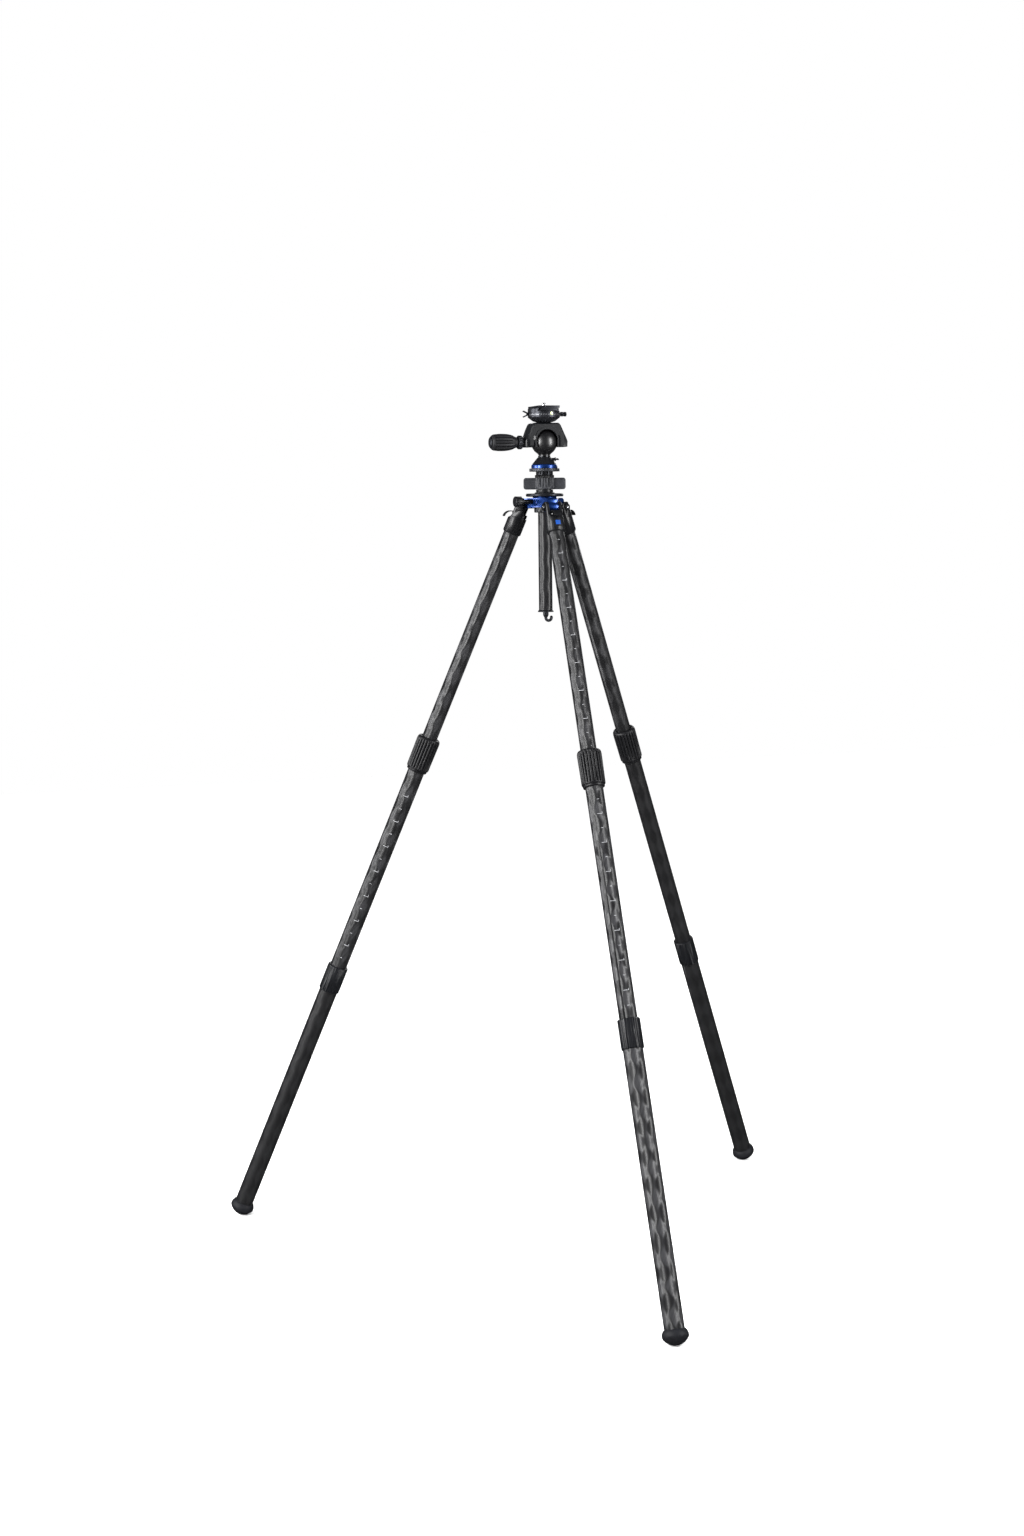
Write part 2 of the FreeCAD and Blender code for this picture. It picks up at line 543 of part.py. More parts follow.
def ballStem():
    """Steel ball on a waisted stem, drilled up the middle for the stud."""
    ball = put(bind(doc.addObject("Part::Sphere", "ball"), Radius="ballRadius"), at(0, 0, "ballLevel"))
    stem = turned("stem", [
        (0, "ringHigh + 0.3"), ("stemRadius", "ringHigh + 0.3"), ("stemRadius", "coneHigh + 3.2"),
        ("stemRadius + 3.4", "ballLevel - ballRadius + 4.6"), (0, "ballLevel - ballRadius + 4.6")])
    hole = rod("stemBore", "studRadius + runGap", "12", at(0, 0, "ringHigh - 1"))
    return node("ball_stem", cut("ballStemCut", fuse("ballBlank", ball, stem), hole), crownPlace)


ballStem()
node("neck_ring", ringOf("neckRing", "collarRadius", "stemRadius + runGap", "coneHigh + 0.4", "coneHigh + 2.4"),
     crownPlace)


def panLever():
    """Pan lock: a short radial screw with a flat thumb paddle."""
    screw = turned("panScrew", [
        (0, "coneTopRadius - 2"), ("leverScrew", "coneTopRadius - 2"), ("leverScrew", "coneTopRadius + 6.4"),
        (3.4, "coneTopRadius + 6.4"), (3.4, "coneTopRadius + 8.2"), (0, "coneTopRadius + 8.2")])
    paddle = padded("panPaddle", [
        ("-1.3", "coneTopRadius + 6.6"), ("1.3", "coneTopRadius + 6.6"), ("1.8", "coneTopRadius + 12.6", 2.2),
        ("-1.8", "coneTopRadius + 12.6")], 6.4)
    place = at(0, "columnY", "pivotHeight + leverHeight", ("Z", "leverAzimuth"), ("Y", 90))
    return node("pan_lock_lever", fuse("panLeverWhole", screw, paddle), place)


panLever()

# ---- ball housing ----


def archTool(name, extra, front):
    """Arch-shaped tool that opens a wall towards -Y."""
    round_ = rod(name + "Round", "archRadius + %s" % extra, "60", at(0, "-60 + %s" % front, "archRise", ("X", -90)))
    straight = box(name + "Straight", ("-archRadius - %s" % extra, "archRadius + %s" % extra),
                   ("-60 + %s" % front, front), ("-60", "archRise"))
    return fuse(name, round_, straight)


def dragCup():
    """Thin cup that wraps the ball and carries the drag; open below and at the arch."""
    outer = bind(doc.addObject("Part::Sphere", "cupOuterBall"), Radius="cupOuter")
    inner = bind(doc.addObject("Part::Sphere", "cupInnerBall"), Radius="cupInner")
    below = box("cupBelow", ("-40", "40"), ("-40", "40"), ("-60", "housingLow + 1"))
    return node("drag_cup", cut("cupCut", outer, inner, below, archTool("cupArch", "0.8", "-4")), ballPlace)


dragCup()


def housing():
    """Saddle housing: a tapered block over the ball with an arch in front and a round boss behind."""
    block = padded("housingBlock", [
        ("-housingHalf + 0.6", "housingLow"), ("housingHalf - 0.6", "housingLow"), ("housingHalf", "housingLow + 9.6"),
        ("housingHalf - 12.6", "housingTop - 5", 9), ("shoulderHalf", "housingTop"),
        ("-shoulderHalf", "housingTop", 9), ("-housingHalf + 12.6", "housingTop - 5"),
        ("-housingHalf", "housingLow + 9.6")], "2 * housingDepth")
    plan = padded("housingPlan", [
        ("-housingHalf - 1", "-housingDepth + 4"), ("-housingHalf + 5", "-housingDepth"), ("housingHalf - 5", "-housingDepth"),
        ("housingHalf + 1", "-housingDepth + 4"), ("housingHalf + 1", "housingDepth - 7"),
        ("housingHalf - 9", "housingDepth"), ("-housingHalf + 9", "housingDepth"),
        ("-housingHalf - 1", "housingDepth - 7")], "200", "XY_Plane")
    shell = common("housingShell", block, plan)
    rim = rod("archRim", "archRadius + 3.6", "housingDepth + 1", at(0, "-housingDepth - 1", "archRise", ("X", -90)))
    rimLegs = box("archRimLegs", ("-archRadius - 3.6", "archRadius + 3.6"), ("-housingDepth - 1", 0),
                  ("housingLow", "archRise"))
    rear = turned("rearBossBody", [
        (0, 0), ("cavityRadius + 1.6", 0), ("cavityRadius + 1.6", "housingDepth + 2"), ("cavityRadius - 4", "rearBoss"),
        (0, "rearBoss")])
    put(rear, at(0, 0, "0", ("X", -90)))
    rearTrim = box("rearTrim", ("-40", "40"), ("-1", "40"), ("housingLow", "housingTop"))
    boss = common("rearBossTrimmed", rear, rearTrim)
    handleBoss = rod("handleBoss", "9", "12", at("-housingHalf - 3", 0, 0, ("Y", 90)))
    cavity = bind(doc.addObject("Part::Sphere", "cavity"), Radius="cavityRadius")
    return node("housing", cut("housingCut", fuse("housingBlank", shell, rim, rimLegs, boss, handleBoss), cavity,
                               archTool("housingArch", "0", "-4")), ballPlace)


housing()

# ---- handle, along -X from the ball's centre ----
handlePlace = at(0, "columnY", "pivotHeight + ballLevel", ("Y", -90))
node("handle_rod", turned("handleRod", [
    (0, "housingHalf + 3.05"), (7.5, "housingHalf + 3.05"), (7.5, "collarEnd + 0.1"), (8.4, "collarEnd + 0.1"),
    (8.4, "-gripStart - 0.3"), ("rodRadius", "-gripStart - 0.3"), ("rodRadius", "-gripEnd - 4"), (0, "-gripEnd - 4")]),
    handlePlace)
handleCollar = turned("handleCollar", [
    (7.55, "housingHalf + 3.1"), ("collarKnurl - 1", "housingHalf + 3.1"), ("collarKnurl", "housingHalf + 4.1"),
    ("collarKnurl", "collarEnd - 1"), ("collarKnurl - 1", "collarEnd"), (7.55, "collarEnd")])
grooves(handleCollar, "handleCollarFlute", 14, "circle", ("collarKnurl + 0.6", 1.4), "housingHalf + 2", 12)
node("handle_collar", handleCollar, handlePlace)
handleGrip = turned("handleGrip", [
    ("rodRadius + slideGap", "-gripStart"), (9.2, "-gripStart"), (9.8, "-gripStart + 2"), (11, "-gripStart + 5"),
    (13, "-gripStart + 10"), (14.4, "-gripStart + 17"), ("gripRadius", "-gripStart + 25"),
    ("gripRadius", "-gripStart + 31"), (13.6, "-gripEnd - 3"),
    (11.2, "-gripEnd"), ("rodRadius + slideGap", "-gripEnd")])
grooves(handleGrip, "gripFlute", 14, "circle", ("gripRadius + 0.4", 1.5), "-gripStart + 12", 29)
node("handle_grip", handleGrip, handlePlace)
node("grip_end_cap", turned("gripCap", [
    (0, "-gripEnd + 0.1"), (9.4, "-gripEnd + 0.1"), (9.4, "-gripEnd + 1.6"), (8.2, "-gripEnd + 2.5"),
    (0, "-gripEnd + 2.5")]), handlePlace)

# ---- clamp ----


def clampBase():
    """Round clamp bowl on a cone, with a groove along Y for the plate and a pocket for the sliding jaw."""
    bowl = turned("clampBowl", [
        (0, "bowlLow"), (12, "bowlLow"), (19.5, "bowlLow + 2.4"), ("bowlRadius", "bowlStep"),
        ("bowlRadius", "clampTop - 1"), ("bowlRadius - 1", "clampTop"), (0, "clampTop")])
    groove = box("clampGroove", ("-dovetailHalf - 0.3", "40"), ("-40", "40"), ("grooveFloor", "200"))
    lip = box("clampLip", ("-dovetailHalf - 2.6", "0"), ("-40", "40"), ("grooveFloor", "grooveFloor + 2.6"))
    pocket = box("jawPocket", ("jawStart - 0.3", "40"), ("-12.3", "12.3"), ("grooveFloor - 1.4", "200"))
    knobHole = rod("knobHole", "2.05", "20", at("bowlRadius - 14", 0, "clampKnobAxis", ("Y", 90)))
    wingHole = rod("wingHole", "2.05", "12", at("-bowlRadius - 2", 0, "clampKnobAxis", ("Y", 90)))
    jawHole = box("jawTongueHole", ("jawStart - 0.3", "jawStart + 5.2 + jawTravel"), ("-5.3", "5.3"),
                  ("clampKnobAxis - 4.3", "200"))
    level = rod("levelHole", 2.55, "10", at(0, 0, "grooveFloor - 4.2", ("Z", -80), ("Y", 90)) + " * " +
                at(0, 0, "bowlRadius - 1.4"))
    return node("clamp_base", cut("clampBaseCut", bowl, groove, lip, pocket, knobHole, wingHole, jawHole, level),
                crownPlace)


clampBase()


def clampJaw():
    """Sliding jaw: an undercut bar that grips the plate, with a tongue down to the knob's screw."""
    blank = box("jawBlank", ("dovetailHalf + 0.35", "bowlRadius - 4.6"), ("-12", "12"), ("grooveFloor + 0.1", "clampTop"))
    tongue = box("jawTongue", ("jawStart + 0.1", "jawStart + 5"), ("-5", "5"), ("clampKnobAxis - 4", "grooveFloor + 0.2"))
    under = box("jawUnder", ("0", "dovetailHalf + 2.4"), ("-20", "20"), ("grooveFloor", "grooveFloor + 2.6"))
    hole = rod("jawHole", "2.05", "20", at("jawStart - 2", 0, "clampKnobAxis", ("Y", 90)))
    return node("clamp_jaw", cut("jawCut", fuse("jawSolid", blank, tongue), under, hole), crownPlace)


clampJaw()
sidePlace = at(0, "columnY", "pivotHeight + clampKnobAxis", ("Y", 90))
clampKnob = turned("clampKnob", [
    (0, "jawStart + 0.2"), (2, "jawStart + 0.2"), (2, "bowlRadius + 0.3"), (2.9, "bowlRadius + 0.3"),
    (2.9, "bowlRadius + 2.4"), (4, "bowlRadius + 2.9"), (4, "bowlRadius + 6.6"), (3, "bowlRadius + 7.1"),
    (3, "bowlRadius + 8.1"), (4, "bowlRadius + 8.6"), (4, "bowlRadius + 12.3"), (3.4, "bowlRadius + 12.9"),
    (0, "bowlRadius + 12.9")])
grooves(clampKnob, "clampKnobFlute", 12, "circle", (4.2, 0.55), "bowlRadius + 2.5", 12)
node("clamp_knob", clampKnob, sidePlace)


def wingScrew():
    """Clamp lock screw with two small splayed wings, on the handle's side."""
    screw = turned("wingShaft", [(0, "bowlRadius - 8"), (2, "bowlRadius - 8"), (2, "bowlRadius + 0.3"),
                                 (3, "bowlRadius + 0.3"), (3, "bowlRadius + 3.4"), (0, "bowlRadius + 3.4")])
    wings = [padded("wing%d" % index, [
        ("%d * 0.3" % side, "bowlRadius + 1.8"), ("%d * 2.4" % side, "bowlRadius + 1.6"),
        ("%d * 5.9" % side, "bowlRadius + 9.6"), ("%d * 4.2" % side, "bowlRadius + 10.6")], 5)
        for index, side in enumerate((1, -1))]
    place = at(0, "columnY", "pivotHeight + clampKnobAxis", ("Y", -90))
    return node("wing_screw", fuse("wingWhole", screw, *wings), place)


wingScrew()
node("spirit_level", turned("level", [
    (0, "bowlRadius - 1.35"), (2.5, "bowlRadius - 1.35"), (2.5, "bowlRadius - 0.1"), (1.6, "bowlRadius + 0.5"),
    (0, "bowlRadius + 0.6")]),
    at(0, "columnY", "pivotHeight + grooveFloor - 4.2", ("Z", -80), ("Y", 90)))


def releasePlate():
    """Quick release plate with dovetail edges, a slot for the camera screw and two shallow pad seats."""
    slab = box("plateSlab", ("-plateHalfWidth", "plateHalfWidth"), ("-plateHalfLength", "plateHalfLength"),
               ("plateLow", "plateHigh"))
    tail = padded("plateTail", [
        ("-dovetailHalf + 2", "plateLow + 0.2"), ("-dovetailHalf + 2", "grooveFloor + 2.4"),
        ("-dovetailHalf", "grooveFloor + 2"), ("-dovetailHalf", "grooveFloor + 0.2"), ("dovetailHalf", "grooveFloor + 0.2"),
        ("dovetailHalf", "grooveFloor + 2"), ("dovetailHalf - 2", "grooveFloor + 2.4"),
        ("dovetailHalf - 2", "plateLow + 0.2")], "2 * plateHalfLength")
    hole = rod("screwHole", "screwRadius + runGap", "40", at(0, 0, "grooveFloor - 10"))
    head = rod("screwHeadHole", 8.3, "4.6", at(0, 0, "grooveFloor - 1"))
    seats = [box("padSeat%d" % index, ("-plateHalfWidth + 4", "plateHalfWidth - 4"), (low, high),
                 ("plateHigh - 0.8", "plateHigh + 5"))
             for index, (low, high) in enumerate((("-plateHalfLength + 4", "-7"), ("7", "plateHalfLength - 4")))]
    return node("quick_release_plate", cut("plateCut", fuse("plateBlank", slab, tail), hole, head, *seats), crownPlace)


releasePlate()
pads = doc.addObject("Part::Compound", "padPair")
pads.Links = [box("pad%d" % index, ("-plateHalfWidth + 4.1", "plateHalfWidth - 4.1"), (low, high),
                  ("plateHigh - 0.8", "plateHigh"))
              for index, (low, high) in enumerate((("-plateHalfLength + 4.1", "-7.1"), ("7.1", "plateHalfLength - 4.1")))]
node("plate_pads", pads, crownPlace)

cameraScrew = turned("cameraScrew", [
    (0, "grooveFloor + 0.4"), (8, "grooveFloor + 0.4"), (8, "grooveFloor + 3.4"), ("screwNeck", "grooveFloor + 3.4"),
    ("screwNeck", "plateHigh + 0.3"), ("screwRadius", "plateHigh + 0.3"),
    ("screwRadius", "plateHigh + screwRise - 0.7"), ("screwRadius - 0.7", "plateHigh + screwRise"),
    (0, "plateHigh + screwRise")])
slotTool = box("screwSlot", ("-6", "6"), ("-0.8", "0.8"), ("grooveFloor - 1", "grooveFloor + 1.6"))
node("camera_screw", cut("cameraScrewCut", cameraScrew, slotTool), crownPlace)

# ---- checks and files ----
doc.recompute()
for thing in doc.Objects:
    if "Invalid" in thing.State or "Error" in thing.State:
        raise RuntimeError("%s failed: %s" % (thing.Label, thing.State))
for thing in nodes:
    shape = thing.Shape
    if shape.isNull() or not shape.isValid() or not shape.Solids:
        raise RuntimeError(thing.Label + " has no valid shape")
for thing in nodes:
    thing.Shape.exportStep("parts/%s.step" % thing.Label)
print("%d nodes, height %.1f mm, pivot height %.1f mm, column at y %.1f mm" % (
    len(nodes), value("pivotHeight + plateHigh + screwRise"), value("pivotHeight"), value("columnY")))
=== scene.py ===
import math
import bpy
from mathutils import Matrix, Vector
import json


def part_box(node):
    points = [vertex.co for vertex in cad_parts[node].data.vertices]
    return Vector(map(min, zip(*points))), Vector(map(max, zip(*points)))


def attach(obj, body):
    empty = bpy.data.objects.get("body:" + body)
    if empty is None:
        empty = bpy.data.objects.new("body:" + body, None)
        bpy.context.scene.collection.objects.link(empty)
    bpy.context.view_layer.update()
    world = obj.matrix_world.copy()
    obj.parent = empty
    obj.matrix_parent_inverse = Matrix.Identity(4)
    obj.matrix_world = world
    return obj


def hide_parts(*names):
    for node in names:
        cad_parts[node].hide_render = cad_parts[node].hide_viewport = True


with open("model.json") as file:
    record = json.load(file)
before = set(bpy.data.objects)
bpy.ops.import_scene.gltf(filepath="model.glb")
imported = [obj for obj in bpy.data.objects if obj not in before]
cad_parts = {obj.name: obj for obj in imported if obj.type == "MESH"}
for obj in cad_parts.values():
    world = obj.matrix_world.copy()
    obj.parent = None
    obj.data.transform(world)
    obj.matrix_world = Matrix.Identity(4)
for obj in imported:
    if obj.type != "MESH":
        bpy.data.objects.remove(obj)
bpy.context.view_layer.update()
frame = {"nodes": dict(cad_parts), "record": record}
nodes = frame["nodes"]
bodies = frame["record"]["behaviour"]["bodies"]
bodyOf = {name: body for body, names in bodies.items() for name in names}
slotOf = {item["node"]: item["material_slot"] for item in frame["record"]["subparts"]}


def middle(node):
    low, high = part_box(node)
    return (low + high) / 2


# the column's axis, the height of the leg pivots, and each leg's own frame: its X points outwards, its Y lies
# along the bolt and its Z runs up the leg
pivotHeight = middle("leg_pivot_bolts").z
crownCentre = Vector((0, middle("column_tube").y, pivotHeight))
stance = dict(pivotRadius=0.0414, spread=math.radians(23), azimuths=dict(left=150, front=270, right=30))
legFrames = {}
for side, azimuth in stance["azimuths"].items():
    turn = Matrix.Rotation(math.radians(azimuth), 4, "Z")
    pivot = crownCentre + turn @ Vector((stance["pivotRadius"], 0, 0))
    legFrames[side] = Matrix.Translation(pivot) @ turn @ Matrix.Rotation(-stance["spread"], 4, "Y")

print("stage: camera and light")
cameraSetup = dict(distance=3.938, above=0.0012, around=-19.0, yaw=0.916, pitch=-6.69, roll=-0.67,
                   lens=34.78, sensor=24, reach=100)
around = Matrix.Rotation(math.radians(cameraSetup["around"]), 4, "Z")
cameraPlace = crownCentre + around @ Vector((0, -cameraSetup["distance"], cameraSetup["above"]))
bpy.ops.object.camera_add()
camera = bpy.context.object
camera.matrix_world = (Matrix.Translation(cameraPlace) @ around
                       @ Matrix.Rotation(math.radians(cameraSetup["yaw"]), 4, "Z")
                       @ Matrix.Rotation(math.radians(90 + cameraSetup["pitch"]), 4, "X")
                       @ Matrix.Rotation(math.radians(cameraSetup["roll"]), 4, "Z"))
camera.data.sensor_fit = "VERTICAL"
camera.data.sensor_height = cameraSetup["sensor"]
camera.data.lens = cameraSetup["lens"]
camera.data.clip_end = cameraSetup["reach"]
bpy.context.scene.camera = camera
bpy.context.scene.view_settings.view_transform = "Standard"


def linear(code):
    parts = [int(code[i:i + 2], 16) / 255 for i in (1, 3, 5)]
    return [*(c / 12.92 if c <= 0.04045 else ((c + 0.055) / 1.055) ** 2.4 for c in parts), 1]


def addNode(tree, kind, links=None, **settings):
    # a link's source is a socket, a node for its first output, or a plain value
    made = tree.nodes.new(kind)
    for name, setting in settings.items():
        setattr(made, name, setting)
    for name, source in (links or {}).items():
        if isinstance(source, bpy.types.Node):
            source = source.outputs[0]
        if isinstance(source, bpy.types.NodeSocket):
            tree.links.new(source, made.inputs[name])
        else:
            made.inputs[name].default_value = source
    return made


softLights = {
    "keySoftbox": dict(place=(-2.5, -2.3, 1.7), aim=(0, 0, 0.9), size=(0.7, 2.6), power=230),
    "rightSoftbox": dict(place=(2.6, -1.5, 1.6), aim=(0, 0, 0.9), size=(0.6, 2.6), power=150),
    "leftFlank": dict(place=(-2.9, -0.4, 1.6), aim=(0, 0, 1.1), size=(0.9, 1.8), power=90),
    "rearSoftbox": dict(place=(0.6, 3.2, 2.2), aim=(0, 0, 0.9), size=(2.4, 1.6), power=40),
}
underCrown = crownCentre * Vector((1, 1, 0))
for name, light in softLights.items():
    place = underCrown + around @ Vector(light["place"])
    aim = underCrown + Vector(light["aim"])
    bpy.ops.object.light_add(type="AREA", location=place)
    lamp = bpy.context.object
    lamp.name = name
    lamp.rotation_euler = (aim - place).to_track_quat("-Z", "Y").to_euler()
    lamp.data.shape = "RECTANGLE"
    lamp.data.size, lamp.data.size_y = light["size"]
    lamp.data.energy = light["power"]

# a very wide glow from overhead fills the shade; it leaves no highlight of its own
ceilingGlow = dict(height=4, tilt=(math.radians(12), math.radians(-10), 0), power=3.4, wide=math.radians(120))
bpy.ops.object.light_add(type="SUN", location=(0, 0, ceilingGlow["height"]), rotation=ceilingGlow["tilt"])
ceiling = bpy.context.object
ceiling.name = "ceilingGlow"
ceiling.data.energy = ceilingGlow["power"]
ceiling.visible_glossy = False
ceiling.data.angle = ceilingGlow["wide"]

# the camera sees a white backdrop, while the object is lit by a faint cool glow
studio = dict(glow="#eceef2", glowPower=0.08, backdrop="#ffffff", backdropPower=1.0)
world = bpy.data.worlds.new("paleStudio")
world.use_nodes = True
bpy.context.scene.world = world
worldTree = world.node_tree
worldTree.nodes.clear()
seen = addNode(worldTree, "ShaderNodeLightPath").outputs["Is Camera Ray"]
roomGlow = addNode(worldTree, "ShaderNodeBackground", {
    "Color": linear(studio["glow"]), "Strength": studio["glowPower"]})
backdrop = addNode(worldTree, "ShaderNodeBackground", {
    "Color": linear(studio["backdrop"]), "Strength": studio["backdropPower"]})
worldMix = addNode(worldTree, "ShaderNodeMixShader", {0: seen, 1: roomGlow, 2: backdrop})
addNode(worldTree, "ShaderNodeOutputWorld", {"Surface": worldMix})

print("stage: materials")
# the noise keeps mostly between low and high
noise = dict(grainDetail=3.0, cloudDetail=2.0, driftDetail=2.0, low=0.3, high=0.7)


def newMaterial(name):
    material = bpy.data.materials.new(name)
    material.use_nodes = True
    material.node_tree.nodes.clear()
    return material, material.node_tree


def surface(name, look):
    # a fine grain roughens and bumps the surface, and a broad cloud drifts its colour from dark to light
    material, tree = newMaterial(name)
    place = addNode(tree, "ShaderNodeTexCoord").outputs["Object"]
    grain = addNode(tree, "ShaderNodeTexNoise", {
        "Vector": place, "Scale": 1000 / look["grainMm"], "Detail": noise["grainDetail"]}).outputs["Fac"]
    cloud = addNode(tree, "ShaderNodeTexNoise", {
        "Vector": place, "Scale": 1000 / look["cloudMm"], "Detail": noise["cloudDetail"]}).outputs["Fac"]
    colour = addNode(tree, "ShaderNodeMix", {
        0: cloud, "A": linear(look["dark"]), "B": linear(look["light"])}, data_type="RGBA").outputs["Result"]
    gloss = addNode(tree, "ShaderNodeMapRange", {
        "Value": grain, "From Min": noise["low"], "From Max": noise["high"],
        "To Min": look["rough"] - look["roughSpread"], "To Max": look["rough"] + look["roughSpread"]})
    bump = addNode(tree, "ShaderNodeBump", {
        "Height": grain, "Strength": look["bump"], "Distance": look["depthMm"] / 1000})
    shader = addNode(tree, "ShaderNodeBsdfPrincipled", {
        "Base Color": colour, "Roughness": gloss, "Normal": bump, "Metallic": look["metal"],
        "Specular IOR Level": look.get("specular", 0.2), "Coat Weight": look.get("coat", 0.0),
        "Coat Roughness": look.get("coatRough", 0.1)})
    addNode(tree, "ShaderNodeOutputMaterial", {"Surface": shader})
    return material


looks = {
    # moulded rubber over the thumb wings: dull dark grey
    "wing_rubber": dict(dark="#1d1e21", light="#292a2e", metal=0.0, rough=0.5, roughSpread=0.06,
                        grainMm=0.7, cloudMm=12, bump=0.3, depthMm=0.0175),
    # injection moulded ABS: a glossy black rim round the badge
    "badge_frame": dict(dark="#0f1012", light="#17181b", metal=0.0, rough=0.3, roughSpread=0.04,
                        grainMm=1.0, cloudMm=8, bump=0.1, depthMm=0.007),
    # magnesium casting under baked black enamel: soft highlights with a faint orange peel
    "casting_black": dict(dark="#09090b", light="#0e0f11", metal=0.0, rough=0.34, roughSpread=0.05,
                          grainMm=0.9, cloudMm=25, bump=0.25, depthMm=0.0175, specular=0.26),
    # bead blasted aluminium, dyed blue and anodised: metallic, clean and slightly grainy
    "anodised_blue": dict(dark="#0c2558", light="#143c82", metal=0.85, rough=0.34, roughSpread=0.06,
                          grainMm=0.6, cloudMm=18, bump=0.2, depthMm=0.0105, coat=0.5, coatRough=0.22),
    # turned aluminium, black anodised: dark metal with a soft sheen
    "anodised_black": dict(dark="#17181b", light="#222327", metal=0.6, rough=0.36, roughSpread=0.06,
                           grainMm=0.5, cloudMm=16, bump=0.2, depthMm=0.0105),
    # hard anodised ball: its thick black oxide is what shows, smooth and not metallic
    "ball_black": dict(dark="#050506", light="#08080a", metal=0.0, rough=0.36, roughSpread=0.03,
                       grainMm=1.0, cloudMm=20, bump=0.05, depthMm=0.01, specular=0.75),
    # knurled aluminium, black anodised: its tone drifts a little lighter in small patches
    "knurled_black": dict(dark="#1b1c1f", light="#38393c", metal=0.8, rough=0.38, roughSpread=0.08,
                          grainMm=0.8, cloudMm=5, bump=0.3, depthMm=0.014),
    # moulded rubber sleeve: near black, dry and satin
    "lock_rubber": dict(dark="#0a0a0c", light="#101012", metal=0.0, rough=0.42, roughSpread=0.06,
                        grainMm=0.7, cloudMm=14, bump=0.3, depthMm=0.0175, specular=0.2),
    # the same rubber on the groove floors, coloured darker as painted shade in the grooves: dead matt
    "groove_shade_rubber": dict(dark="#030303", light="#060607", metal=0.0, rough=0.85, roughSpread=0.04,
                          grainMm=0.7, cloudMm=14, bump=0.2, depthMm=0.02, specular=0.03),
    # injection moulded nylon: satin black
    "lock_plastic": dict(dark="#090a0c", light="#0f1013", metal=0.0, rough=0.36, roughSpread=0.05,
                         grainMm=0.6, cloudMm=20, bump=0.2, depthMm=0.0105),
    # solid rubber foot: matt with a fine mould grain
    "foot_rubber": dict(dark="#0b0b0e", light="#121317", metal=0.0, rough=0.6, roughSpread=0.06,
                        grainMm=1.1, cloudMm=18, bump=0.4, depthMm=0.028, specular=0.15),
    # turned stainless steel: bright and clean
    "steel": dict(dark="#b9babd", light="#d6d7d9", metal=1.0, rough=0.24, roughSpread=0.06,
                  grainMm=0.4, cloudMm=6, bump=0.15, depthMm=0.007),
    # turned ring under black chrome: a dark mirror that catches light at its edges
    "bright_ring": dict(dark="#1d1e20", light="#2b2c2e", metal=1.0, rough=0.3, roughSpread=0.03,
                        grainMm=0.5, cloudMm=8, bump=0.05, depthMm=0.0035),
    # powder coated head casting: satin black with a fine sand texture
    "head_black": dict(dark="#07080a", light="#0c0d10", metal=0.0, rough=0.36, roughSpread=0.07,
                       grainMm=0.8, cloudMm=22, bump=0.4, depthMm=0.021, specular=0.28),
    # soft touch rubber grip: matt black
    "grip_rubber": dict(dark="#0e0e10", light="#151518", metal=0.0, rough=0.5, roughSpread=0.06,
                        grainMm=0.8, cloudMm=12, bump=0.3, depthMm=0.0175),
    # fired enamel on the badge: an even blue with a gentle gloss
    "badge_blue": dict(dark="#10357a", light="#17468f", metal=0.0, rough=0.3, roughSpread=0.04,
                       grainMm=1.2, cloudMm=6, bump=0.05, depthMm=0.0035),
    # rubberised cork pads: brown granules, quite dry
    "cork": dict(dark="#1d1b19", light="#3a332b", metal=0.0, rough=0.8, roughSpread=0.08,
                 grainMm=1.0, cloudMm=1.6, bump=0.5, depthMm=0.0525),
    # acrylic spirit level: a glossy dome that shows the pale green liquid inside
    "bubble": dict(dark="#c9d77a", light="#eef3d0", metal=0.0, rough=0.12, roughSpread=0.03,
                   grainMm=3.0, cloudMm=4, bump=0.02, depthMm=0.0035, coat=1.0, coatRough=0.03),
    # turned aluminium, dark grey anodised: the clamp's dull metal
    "clamp_grey": dict(dark="#1e1f22", light="#2e2f33", metal=0.7, rough=0.36, roughSpread=0.07,
                       grainMm=0.6, cloudMm=14, bump=0.2, depthMm=0.0105),
}
materials = {slot: surface(slot, look) for slot, look in looks.items()}

# Clear coated carbon tube. Its tapes cross at a slant, so the sheen jumps left and right in diamonds down it.
# A fibre is 0.007 mm across in truth and is drawn 1.6 mm wide, so that it shows.
carbon = dict(dark="#0e0e0f", mid="#181819", pale="#2f2f31", darkAt=0.05, midAt=0.4, paleAt=0.9,
              tapesAround=3, pitchMm=92, fibreMm=1.6, slantDeg=24, fibreSquash=0.06,
              driftPerMetre=24.0, driftTurns=4.0, patchEdge=0.5, rough=0.34, specular=0.2)
# the patch share below is painted sheen: one set of tapes is coloured lighter than the other
tapeSheenTone = dict(patch=0.5, grain=0.75, drift=0.5, below=0.42)  # what makes a tape lighter or darker
tapeLean = dict(patch=2.0, grain=0.8, start=-1.4, tilt=0.2)  # how far a tape throws its highlight sideways


